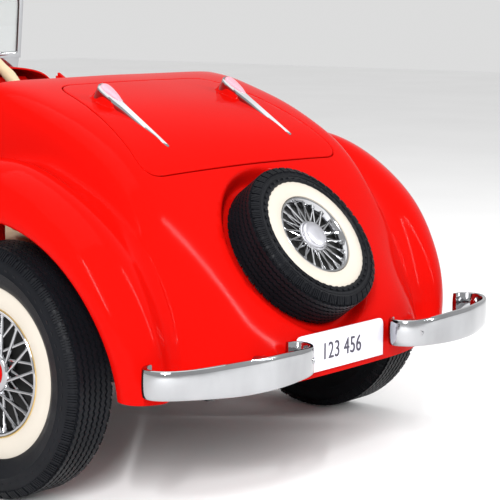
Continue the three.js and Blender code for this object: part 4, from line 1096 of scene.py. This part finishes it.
# %% The spare in its dish
first = np.cross(SPARE_AXIS, [0, 1, 0])
spare_seat = Matrix(((first[0], SPARE_AXIS[0], 0, SPARE_CENTRE[0]),
                     (first[1], SPARE_AXIS[1], 1, SPARE_CENTRE[1]),
                     (first[2], SPARE_AXIS[2], 0, SPARE_CENTRE[2]), (0, 0, 0, 1)))
spare_parts = {
    "spare_tyre_fine": (spare_tyre, "tyre", TYRE_RUBBER, "spare_tyre"),
    "spare_wall_band": (ring_band(50.5, 70, -1.2, 1.6, 5), "cream_trim", IVORY, ()),
    "spare_rim": (joined(rim_ring(50.3, 43.5, -3.2), spare_spokes,
                         turned([(12, -18), (12, -7), (17, -5.4), (19.6, -5.8), (20.6, -7.4), (20.8, -18)],
                                64)),
                  "chrome", CHROME, "spare_wheel"),
    # painted shade: a near-black disc behind the spare's spokes stands for its dark inside
    "spare_well": (turned([(0, -14), (49, -14), (49, -34), (0, -34)], 64, closed=False), "black_frame", SHADE_WELL,
                   ()),
    "spare_nut": (turned([(0, -0.2), (9, -0.3), (14.0, -0.7), (16.0, -1.6), (17.0, -3.2), (17.6, -5.0),
                          (18.8, -5.6), (19.4, -6.4),
                          (19.6, -9), (0, -9)], 64, closed=False), "satin_metal", SATIN, "spare_cap"),
}
for name, (shape, slot, finish, stands_for) in spare_parts.items():
    piece(name, placed(shape, spare_seat), "body", finish, stands_for, sharp=35)

# %% [markdown]
# ## Bumpers
# Each rear bumper is one strip of chromed steel, bent round the corner with both ends hooked
# back, on a bracket with a domed nut. A strip is best made by carrying its section along a
# curve: the section is slightly crowned, so the plating shows a soft band and not one flat
# tone. The strip is a tenth less tall at its ends and a little taller between them.

# %% Strips of bent steel
def smooth_path(points, count):
    points = np.array(points, float)
    gap = np.sqrt(np.linalg.norm(np.diff(points, axis=0), axis=1))
    at = np.concatenate([[0], np.cumsum(gap)])
    t = np.linspace(0, at[-1], count)
    return np.stack([rail(*zip(at, points[:, k]))(t) for k in range(points.shape[1])], -1)


def strip_section(thick, tall, crown):
    z = np.linspace(-0.5, 0.5, 9)
    out = [(thick + crown * (1 - 4 * k * k), k * (tall - 2.4)) for k in z]
    return [(0, -tall / 2 + 1), (0.8, -tall / 2), (thick - 1, -tall / 2)] + out + [(thick - 1, tall / 2),
            (0.8, tall / 2), (0, tall / 2 - 1)]


BUMPER_TOP, BUMPER_TALL = 175, 34
face = -285
corner = [(70, 280), (67, 291), (56, 297), (42, 292), (24, 268), (12, 238), (3, 204), (0, 170), (1, 132),
          (6, 104), (18, 90), (31, 89), (37, 99)]
path = [(face + x, y, BUMPER_TOP - BUMPER_TALL / 2) for x, y in corner]
strip = swept(smooth_path(path, 150), strip_section(5, BUMPER_TALL, 0.9))
height = 0.9 + 0.16 * eased((strip[0][:, 1] - 90) / 80) * eased((290 - strip[0][:, 1]) / 80)
strip[0][:, 2] = path[0][2] + (strip[0][:, 2] - path[0][2]) * height
print("strip", len(strip[1]), "faces")

# %% Brackets, and both bumpers
def domed_nut(x, y, z, way, size=6):
    dome = turned([(0, 4.4), (size * 0.45, 4.0), (size * 0.8, 2.4), (size * 0.95, 0), (size * 1.25, -0.4),
                   (size * 1.3, -1.6), (0, -1.6)],
                  32, closed=False)
    return placed(dome, Matrix.Translation((x, y, z)) @ Matrix.Rotation(way * math.pi / 2, 4, "Z"))


bracket = swept(smooth_path([(face + 4, 100, 158), (face + 10, 118, 160), (face + 22, 132, 161),
                             (face + 40, 138, 160), (face + 60, 138, 158)], 24),
                round_section(6, 12, 0.7))
plate_half = swept(smooth_path([(face + 4, 178, 160), (face + 12, 160, 161), (face + 24, 146, 161),
                                (face + 44, 140, 160)], 20),
                   round_section(6, 12, 0.7))
rear_bumper = joined(strip, bracket, plate_half, domed_nut(face + 5, 140, 156, -1, 5),
                     domed_nut(face + 7, 106, 156, -1, 4.5))
for side, name in ((1, "left"), (-1, "right")):
    shape = rear_bumper if side > 0 else mirrored(rear_bumper)
    piece(f"bumper_strip_{name}", shape, "body", CHROME, f"rear_bumper_{name}", sharp=50)

# %% [markdown]
# ## Number plate
# A pressed plate with rounded upper corners and thin figures. The figures are a text object
# turned to mesh, with an invented number.

# %% Plate and figures
softened_copy("licence_plate", "body", PLATE, 0.7)
plate_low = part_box("licence_plate")[0]


def figures(text, height):
    curve = bpy.data.curves.new("figures", "FONT")
    curve.body = text
    curve.size = height * 1.38
    curve.align_x = "CENTER"
    curve.extrude = 0.0004
    curve.space_character = 1.05
    obj = bpy.data.objects.new("figures", curve)
    bpy.context.scene.collection.objects.link(obj)
    bpy.context.view_layer.update()
    mesh = bpy.data.meshes.new_from_object(obj.evaluated_get(bpy.context.evaluated_depsgraph_get()))
    bpy.data.objects.remove(obj)
    return mesh


numbers = figures("123 456", 0.0195)
numbers.transform(Matrix(((0, 0, -1, plate_low.x - 0.0003), (-0.8, 0, 0, 0), (0, 1, 0, plate_low.z + 0.0125),
                          (0, 0, 0, 1))))
piece("plate_figures", numbers, "body", INK, sharp=30)

# %% [markdown]
# ## Bonnet, cowl and front fenders
# The front is one long moulded bonnet between two fenders. Like the tail it's a sheet drawn
# through rails, so it stays fair; a subdivided cage would wander off the CAD's size. Its
# lower edge follows the fenders.

# %% Bonnet and cowl
NOSE, BONNET_REAR, COWL_FRONT, COWL_REAR = 846, 562, 560, 430
hood_width = rail((430, 213), (560, 200), (702, 146), (846, 92))
hood_top = rail((430, 443), (560, 446), (702, 436), (846, 412))
hood_bottom = rail((430, 132), (500, 136), (560, 190), (662, 250), (846, 258))


def hood_sheet(x0, x1, rows, cols=88):
    grid = []
    for x in np.linspace(x0, x1, rows):
        w, top, low = float(hood_width(x)), float(hood_top(x)), float(hood_bottom(x))
        half = [(w, low), (w, low + 0.35 * (top - low)), (w, low + 0.7 * (top - low)), (w - 6, top - 34),
                (w - 26, top - 6), (w / 2, top + 2)]
        section = np.array(half + [(0, top + 4)] + [(-y, z) for y, z in half[::-1]])
        y, z = (leaning(13, np.linspace(0, 1, cols)) @ section).T
        grid.append(np.stack([np.full(cols, x), y, z], -1))
    return sheet_of(np.array(grid)[:, ::-1])


piece("bonnet_skin", hood_sheet(BONNET_REAR, NOSE, 60), "body", RED, "bonnet", wall=WALL,
      sharp=60)
piece("cowl_skin", hood_sheet(COWL_REAR, COWL_FRONT, 30), "body", RED, "cowl", wall=WALL,
      sharp=60)

# %% [markdown]
# Louvres let the heat out of a real bonnet; here they're raised slats along each side. One
# slat is drawn and the row tree repeats it. A bright strip runs down the hinge line.

# %% Louvres and hinge strip
def louvre():
    z = np.linspace(-26, 26, 9)
    rows = []
    for height in z:
        swell = math.sqrt(max(0.0, 1 - (height / 26)**2))
        rows.append([(-3.4, -2, height), (3.4, -2, height), (3.0, 0.6 + 1.0 * swell, height),
                     (-1.5, 0.6 + 2.6 * swell, height)])
    points, faces = sheet_of(rows, wrap=True)
    return points, faces + [(0, 1, 2, 3), tuple(range(len(points) - 4, len(points)))]


slats = grown(ROW, RED, Pattern=pattern_object("louvre", louvre()), Count=9,
              Step=Vector((0.0125, -0.0045, 0)))
row = shifted(slats, 612, float(hood_width(612)) - 1.2, 345)
piece("louvres", joined(row, mirrored(row)), "body", RED, sharp=40)
x = np.linspace(COWL_REAR + 6, NOSE - 3, 40)
ridge = np.stack([x, 0 * x, hood_top(x) + 2.6], -1)
piece("hinge_strip", swept(ridge, [(-3, 0), (3, 0), (2.4, 1.5), (0, 2.2), (-2.4, 1.5)]), "body",
      CHROME, sharp=50)

# %% [markdown]
# Each front fender sweeps over its wheel and runs down to the running board. It is drawn
# about the front axle, as the rear ones are about theirs, and one grid serves both sides.

# %% Front fenders
front_arch = rail((-18, 164), (120, 164), (150, 174), (170, 204), (183, 250))
front_crown = rail((-18, 186), (0, 197), (30, 212), (60, 222), (90, 227), (120, 230), (145, 240), (162, 256),
                   (174, 274), (183, 288))
grid = []
for angle in np.linspace(183, -18, 120):
    arch, crown, out = float(front_arch(angle)), float(front_crown(angle)), 314
    x = WHEELBASE + crown * math.cos(math.radians(angle))
    inner = 220 if x < 560 else max(float(hood_width(min(x, NOSE))) + 5, 132)
    section = np.array([(out - 12, arch + 2), (out, arch), (out + 2, arch + 10), (out, (arch + crown) / 2),
                        (out - 12, crown - 4),
                        (out - 40, crown + 3), (inner + 0.45 * (out - inner), crown),
                        (inner + 14, crown - 20), (inner, crown - 36)])
    y, r = (leaning(9, np.linspace(0, 1, 56)) @ section).T
    grid.append(np.stack([WHEELBASE + r * math.cos(math.radians(angle)), y,
                          TYRE_RADIUS + r * math.sin(math.radians(angle))], -1))
fender = sheet_of(np.array(grid)[:, ::-1])
for side, name in ((1, "left"), (-1, "right")):
    shape = placed(fender, Matrix.Diagonal((1, side, 1, 1)))
    piece(f"fender_skin_{name}", shape, "body", RED, f"front_fender_{name}", wall=WALL, sharp=60)

# %% [markdown]
# ## Sides, doors and running boards
# The flat sides are plain mouldings, so a copy with rounded edges is the right amount of
# work. Each door gets a bright pull handle on two feet. The running boards have rubber ribs
# along them, from the row tree.

# %% Sides, doors, boards
def pull_handle(y, side):
    grip = swept([(300, y + 3, 372), (302, y + 11, 372), (312, y + 13.5, 372), (335, y + 13.5, 372),
                  (345, y + 11, 372), (347, y + 3, 372)],
                 round_section(3.6, 12, 0.8))
    feet = [placed(turned([(0, 0), (6.5, 0), (6.5, 1.2), (5, 2.6), (0, 2.8)], 24, closed=False),
                   Matrix.Translation((x, y - 0.2, 372))) for x in (301, 346)]
    return placed(joined(grip, *feet), Matrix.Diagonal((1, side, 1, 1)))


for side, name in ((1, "left"), (-1, "right")):
    softened_copy(f"body_side_{name}", "body", RED, 0.9)
    softened_copy(f"door_{name}", f"door_{name}", RED, 1.2, steps=3)
    low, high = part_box(f"door_{name}")
    y = (high.y if side > 0 else -low.y) * 1000
    piece(f"handle_{name}", pull_handle(y - 1, side), f"door_{name}", CHROME, sharp=50)
    softened_copy(f"running_board_{name}", "body", RED, 1.0)
    rib = pattern_object("board rib", swept([(214, 0, 0), (330, 0, 0), (440, 0, 0)],
                                            [(-2.2, 0), (2.2, 0), (1.6, 1.8), (-1.6, 1.8)]))
    ribs = shifted(grown(ROW, RUBBER, Pattern=rib, Count=11, Step=Vector((0, 0.008, 0))), 0, 216, 111.6)
    piece(f"board_ribs_{name}", placed(ribs, Matrix.Diagonal((1, side, 1, 1))), "body", RUBBER,
          sharp=30)

# %% [markdown]
# ## Radiator, lamps and front bumper
# The shell round the grille is chromed, and so are the lamp bowls. A lamp's lens has fine
# ribs across it, which is what makes it look like a lamp and not a bead of glass.

# %% Radiator shell and grille bars
softened_copy("radiator_shell", "body", CHROME, 1.6, steps=3)
# The grille behind the bars takes the painted shade finish: near-black for the shade inside the radiator.
softened_copy("grille", "body", SHADE_WELL, 0.5)
front = (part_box("grille")[1].x - ORIGIN[0]) * 1000
bar = swept([(0, 0, 0), (0, 0, 62), (0, 0, 126)], [(-2.2, -1.6), (2.2, -1.6), (2.0, 0.9), (0, 2.0),
                                                   (-2.0, 0.9)], up=(1, 0, 0))
bars = grown(ROW, CHROME, Pattern=pattern_object("grille bar", bar), Count=15, Step=Vector((0, 0.00971, 0)))
piece("grille_bars", shifted(bars, front - 1.2, -68, 240), "body", CHROME, sharp=40)

# %% Headlamps
LAMP_X, LAMP_Y, LAMP_Z = 856, 138, 400


def ribbed_lens():
    rings = [(0, 11)] + [(r, 11 - 8 * (r / 37.6)**2) for r in np.linspace(6, 37.2, 9)]
    points, faces = turned(rings + [(37.4, 0.5), (0, 0.5)], 72, closed=False)
    points[:, 1] += 0.55 * np.cos(points[:, 0] * 2 * math.pi / 6.5) * (points[:, 1] > 1)
    return points, faces


aim = Matrix(((0, 1, 0, 0), (-1, 0, 0, 0), (0, 0, 1, 0), (0, 0, 0, 1)))
bowl = turned([(0, -52), (8, -50.6), (14, -48), (23, -41), (30, -32), (37, -20), (41, -9), (42.6, 0),
               (43.4, 2), (43.2, 4.6), (41.5, 5.4),
               (38.6, 4.6), (38.2, 2), (38, -4), (27, -28), (0, -44)], 96, closed=False)
stalk = swept(smooth_path([(-22, 0, -26), (-23, -12, -44), (-25, -26, -62), (-26, -34, -74)], 14),
              round_section(7, 16))
for side, name in ((1, "left"), (-1, "right")):
    place = Matrix.Translation((LAMP_X, side * LAMP_Y, LAMP_Z)) @ Matrix.Diagonal((1, side, 1, 1))
    lamp = joined(placed(bowl, aim), stalk)
    piece(f"lamp_{name}", placed(lamp, place), "body", CHROME, f"headlamp_{name}", sharp=45)
    piece(f"lamp_lens_{name}", placed(ribbed_lens(), place @ aim), "body", LAMP_GLASS,
          f"headlamp_lens_{name}", sharp=60)

# %% Windscreen and front bumper
softened_copy("windscreen_frame", "body", CHROME, 1.2, steps=3)
softened_copy("windscreen_glass", "body", GLASS, 0.4)
softened_copy("front_bumper", "body", CHROME, 1.2, steps=3)

# %% [markdown]
# ## Seat
# A bench of cream leathercloth over foam, with sewn channels and brown piping. It could be
# swelled by a cloth simulation. Here a crowned block has its channels pressed in by formula,
# which keeps the seams straight and the script quick, at the price of fewer small folds.

# %% Padded blocks
def padded_block(length, width, thick, channels, crown, cols=97, rows=41, edge=10):
    """A cushion lying flat, seams running along its length, rounded all round."""
    top, under = [], []
    for u in np.linspace(-1, 1, rows):
        line, below = [], []
        for v in np.linspace(-1, 1, cols):
            x, y = length / 2 * math.sin(u * math.pi / 2), width / 2 * math.sin(v * math.pi / 2)
            inset = min(length / 2 - abs(x), width / 2 - abs(y))
            side = math.sqrt(max(0.0, 1 - (1 - min(inset, edge) / edge)**2))
            seam = abs(math.cos(math.pi * channels * (y / width + 0.5) + (math.pi / 2)))
            puff = crown * (0.35 + 0.65 * seam**0.55) * min(1.0, inset / 24)
            line.append((x, y, -edge + edge * side + puff - crown))
            below.append((x, y, -thick + edge * 0.5 * (1 - side)))
        top.append(line)
        under.append(below)
    both = np.concatenate([np.array(top), np.array(under)[::-1]])
    points, faces = sheet_of(np.concatenate([both, both[:1]]))
    for i in range(rows - 1):
        a, b = i * cols, (2 * rows - 1 - i) * cols
        faces += [(a, a + cols, b - cols, b), (a + cols - 1, b + cols - 1, b - 1, a + 2 * cols - 1)]
    return points, faces


def piping(length, width, radius=2.2, corner=9):
    a = np.linspace(0, 2 * math.pi, 128, endpoint=False)
    x = (length / 2 - 1) * np.sign(np.cos(a)) * np.abs(np.cos(a))**0.16
    y = (width / 2 - 1) * np.sign(np.sin(a)) * np.abs(np.sin(a))**0.16
    return swept(np.stack([x, y, 0 * a], -1), round_section(radius, 10), closed=True)


def between(low, high, share):
    return (np.array(low) * (1 - share) + np.array(high) * share - ORIGIN) * 1000


low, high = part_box("seat_cushion")
size = (np.array(high) - np.array(low)) * 1000
middle = between(low, high, 0.5)
bench = shifted(padded_block(size[0], size[1], size[2], 9, 5), middle[0], middle[1],
                (high.z - ORIGIN[2]) * 1000)
seat_cushion = piece("seat_bench", bench, "body", LEATHER, "seat_cushion", sharp=75)
piece("bench_piping", shifted(piping(size[0] - 2, size[1] - 2), middle[0], middle[1], (high.z * 1000 - 12)),
      "body", PIPING, sharp=60)

# %% The back
low_point, high_point = np.array([136, 0, 268.0]), np.array([109, 0, 428.0])
run = high_point - low_point
tall = float(np.linalg.norm(run))
run /= tall
front_way = np.cross([0, 1, 0], run)
front_way *= np.sign(front_way[0])
centre = (low_point + high_point) / 2 + 13 * front_way
side_way = np.cross(front_way, run)
pose = Matrix([[*row] + [c] for row, c in zip(np.stack([run, side_way, front_way], -1).tolist(),
                                              centre.tolist())] + [[0, 0, 0, 1]])
rest_block = placed(padded_block(tall, 300, 26, 9, 5), pose)
seat_rest = piece("seat_rest", rest_block, "body", LEATHER, "seat_back", sharp=75)
piece("rest_piping", placed(piping(tall - 2, 298), pose @ Matrix.Translation((0, 0, -12))), "body",
      PIPING, sharp=60)

# %% [markdown]
# ## Steering wheel and dashboard
# The wheel's rim is a moulded ring with finger grips under it, on three flat steel spokes.
# The dashboard carries two round dials with chrome bezels.

# %% Steering
softened_copy("steering_column", "steering", CHROME, 0.5)
COLUMN_FOOT, COLUMN_HEAD = Vector((652, 0, 178)), Vector((395, 0, 414))
WHEEL_RADIUS, GRIP_RADIUS, GRIPS = 105, 8.2, 24
turn = (COLUMN_HEAD - COLUMN_FOOT).normalized().to_track_quat("Y", "Z").to_matrix().to_4x4()
wheel_at = Matrix.Translation(COLUMN_HEAD) @ turn


def gripped_rim():
    """A ring whose thickness swells a little at each finger grip."""
    along = np.array([0, 1, 0])
    rings = []
    for angle in np.linspace(0, 2 * math.pi, 192, endpoint=False):
        out = np.array([math.sin(angle), 0, math.cos(angle)])
        radius = GRIP_RADIUS + 0.5 * math.cos(angle * GRIPS)
        section = np.linspace(0, 2 * math.pi, 16, endpoint=False)
        rings.append([WHEEL_RADIUS * out + radius * (math.cos(b) * out + math.sin(b) * along)
                      for b in section])
    return sheet_of(rings + rings[:1], wrap=True)


def wheel_arm(k):
    """One of three arms, dished towards the driver so that it turns clear of the cowl."""
    arm = swept([(0, 3, 14), (0, 5.5, 34), (0, 6, 55), (0, 4, 80), (0, 0, 100)], round_section(5.5, 12, 0.4),
                up=(0, 1, 0))
    return placed(arm, Matrix.Rotation(k * 2 * math.pi / 3 + math.pi, 4, "Y"))


boss = turned([(0, 9), (9, 8.4), (15, 6), (18, 1), (18, -6), (0, -6)], 48, closed=False)
piece("wheel_rim", placed(gripped_rim(), wheel_at), "steering", LEATHER, "steering_wheel",
      sharp=60)
piece("wheel_arms", placed(joined(*[wheel_arm(k) for k in range(3)], boss), wheel_at), "steering",
      CHROME, sharp=45)

# %% Dashboard and dials
softened_copy("dashboard", "body", RED, 1.2, steps=3)
low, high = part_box("dashboard")
rear_face = (low.x - ORIGIN[0]) * 1000
z = (low.z + high.z) / 2 * 1000 + 4
for k, y in enumerate((-70, 70)):
    facing = Matrix.Translation((rear_face, y, z)) @ Matrix.Rotation(math.pi / 2, 4, "Z")
    bezel = turned([(20.5, 0), (22.5, 0.5), (22.5, 2.2), (21, 3.4), (19.4, 2.6), (19, 0.6)], 64)
    dial = turned([(0, 0.9), (19.4, 0.9), (19.4, 0), (0, 0)], 48, closed=False)
    hand = slab(-1, 14, 1.2, 1.8, -0.7, 0.7)
    tick = pattern_object("tick", slab(-0.4, 0.4, 0.9, 1.3, 14.5, 18))
    ticks = grown(RING, INK, Pattern=tick, Count=24, Phase=0.0)
    piece(f"bezel_{k}", placed(bezel, facing), "body", CHROME, sharp=45)
    piece(f"dial_{k}", placed(dial, facing), "body", IVORY, sharp=30)
    piece(f"dial_marks_{k}", placed(joined(ticks, hand), facing), "body", INK, sharp=30)

# %% [markdown]
# ## Drive and frame
# Under the body is a child's bicycle drive: cranks, a chain and an axle that turns both rear
# wheels. A roller chain is two kinds of link by turns, so the loop tree lays them along the
# chain's path. It stands still when the cranks turn. The machined pieces keep their CAD
# shape with rounded edges: they sit under the body, mostly out of sight.

# %% Chain
SPROCKET_RADIUS, CHAINRING_RADIUS = 24, 40
CHAIN_PITCH = 12.7
start, end = np.array([0.0, 140.0]), np.array([520.0, 208.0])
gap = end - start
lean = math.atan2(gap[1], gap[0])
off = math.asin((CHAINRING_RADIUS - SPROCKET_RADIUS) / np.linalg.norm(gap))
top_angle, low_angle = lean + math.pi / 2 + off, lean - math.pi / 2 - off
arcs = ((end, CHAINRING_RADIUS, top_angle, low_angle),
        (start, SPROCKET_RADIUS, low_angle, lean - 1.5 * math.pi + off))
loop = []
for hub, radius, first_angle, last_angle in arcs:
    for angle in np.linspace(first_angle, last_angle, 40):
        loop.append((hub[0] + (radius + 0.5) * math.cos(angle), 0, hub[1] + (radius + 0.5) * math.sin(angle)))
path_mesh = bpy.data.meshes.new("chain path")
edges = [(i, (i + 1) % len(loop)) for i in range(len(loop))]
path_mesh.from_pydata((np.array(loop) * 0.001).tolist(), edges, [])
length = sum(np.linalg.norm(np.subtract(loop[i], loop[i - 1])) for i in range(len(loop)))
count = int(length / CHAIN_PITCH / 2) * 2


def link(y, thick):
    turns = np.linspace(0, 2 * math.pi, 12, endpoint=False)
    ends = [(CHAIN_PITCH / 2 * np.sign(math.cos(t)) + 3.4 * math.cos(t),
             2.2 * math.sin(t) * (1.25 if abs(math.cos(t)) > 0.4 else 0.9)) for t in turns]
    plates = []
    for s in (1, -1):
        rows = [[(along, s * y, across) for along, across in ends],
                [(along, s * (y + thick), across) for along, across in ends]]
        p, f = sheet_of(rows, wrap=True)
        plates.append((p, f + [tuple(range(12)), tuple(range(12, 24))]))
    pins = [rod((along, -y, 0), (along, y, 0), 1.9, 10) for along in (-CHAIN_PITCH / 2, CHAIN_PITCH / 2)]
    return joined(*plates, *pins)


chain = grown(LOOP, STEEL, base=path_mesh, Pattern=pattern_object("outer link", link(3.0, 0.7)),
              Second=pattern_object("inner link", link(2.1, 0.7)), Count=count)
piece("chain_links", chain, "body", STEEL, "drive_chain", sharp=40)
print("links:", count)

# %% Wheels, cranks, pedals, frame
for node, body in (("rear_sprocket", "rear_axle"), ("pedal_crank", "crank"), ("crank_bracket", "body"),
                   ("tie_rod", "tie_rod"),
                   ("steering_knuckle_left", "knuckle_left"), ("steering_knuckle_right", "knuckle_right")):
    softened_copy(node, body, STEEL, 0.4)
for node, body in (("chassis_frame", "body"), ("rear_axle", "rear_axle"), ("front_axle_beam", "body")):
    softened_copy(node, body, ENAMEL, 0.5)
for name in ("left", "right"):
    softened_copy(f"pedal_{name}", f"pedal_{name}", RUBBER, 1.6, steps=3)
    low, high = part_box(f"pedal_{name}")
    tooth = pattern_object("pedal rib", slab(-1.4, 1.4, -32, 32, -1, 1.4))
    treads = grown(ROW, RUBBER, Pattern=tooth, Count=9, Step=Vector((0.006, 0, 0)))
    middle = between(low, high, 0.5)
    top = (high.z - ORIGIN[2]) * 1000
    piece(f"pedal_ribs_{name}", shifted(treads, middle[0] - 24, middle[1], top), f"pedal_{name}",
          RUBBER, sharp=30)

# %% [markdown]
# ## Studio
# The car stands on a plain pale floor in a white room. A wide softbox overhead and a smaller
# one behind the tail to the left give the even red. Two narrow, strong strips, one on each
# side behind, draw the pale streaks along the shoulder and the fenders, as in any product
# studio. The room itself fills the rest.

# %% Floor
floor_mesh = bpy.data.meshes.new("floor")
floor_mesh.from_pydata([(-9, -9, -0.0005), (9, -9, -0.0005), (9, 9, -0.0005), (-9, 9, -0.0005)], [],
                       [(0, 1, 2, 3)])
floor = bpy.data.objects.new("floor", floor_mesh)
bpy.context.scene.collection.objects.link(floor)
FLOOR_PAINT, floor_shader = new_finish("pale floor", (0.93, 0.93, 0.93), Roughness=0.9,
                                       Specular_IOR_Level=0.1)
tinted(FLOOR_PAINT, floor_shader, spread(FLOOR_PAINT, noise(FLOOR_PAINT, 2), 0, 1), (0.92, 0.92, 0.92),
       (0.95, 0.95, 0.95))
floor_mesh.materials.append(FLOOR_PAINT)
print("floor laid")

# %% Lights and room
def softbox(name, place, target, width, height, watts, colour=(1, 1, 1)):
    light = bpy.data.lights.new(name, "AREA")
    light.shape = "RECTANGLE"
    light.size, light.size_y = width, height
    light.energy = watts
    light.color = colour
    obj = bpy.data.objects.new(name, light)
    obj.location = place
    obj.rotation_euler = (Vector(target) - Vector(place)).to_track_quat("-Z", "Y").to_euler()
    bpy.context.scene.collection.objects.link(obj)
    return obj


room = bpy.data.worlds.new("room")
room.use_nodes = True
room.node_tree.nodes["Background"].inputs["Color"].default_value = (1, 1, 1, 1)
room.node_tree.nodes["Background"].inputs["Strength"].default_value = 0.72
bpy.context.scene.world = room
softbox("overhead", (-0.3, 0.2, 2.6), (-0.3, 0, 0.3), 2.6, 2.6, 34)
softbox("key", (-2.2, 2.4, 1.9), (-0.4, 0, 0.3), 1.4, 1.4, 22)
softbox("strip left", (-1.9, 2.0, 1.5), (-0.3, 0.2, 0.3), 0.06, 1.4, 75)
softbox("strip right", (-2.4, -1.6, 1.5), (-0.35, 0, 0.3), 0.05, 1.6, 32)
bpy.context.scene.view_settings.view_transform = "Standard"
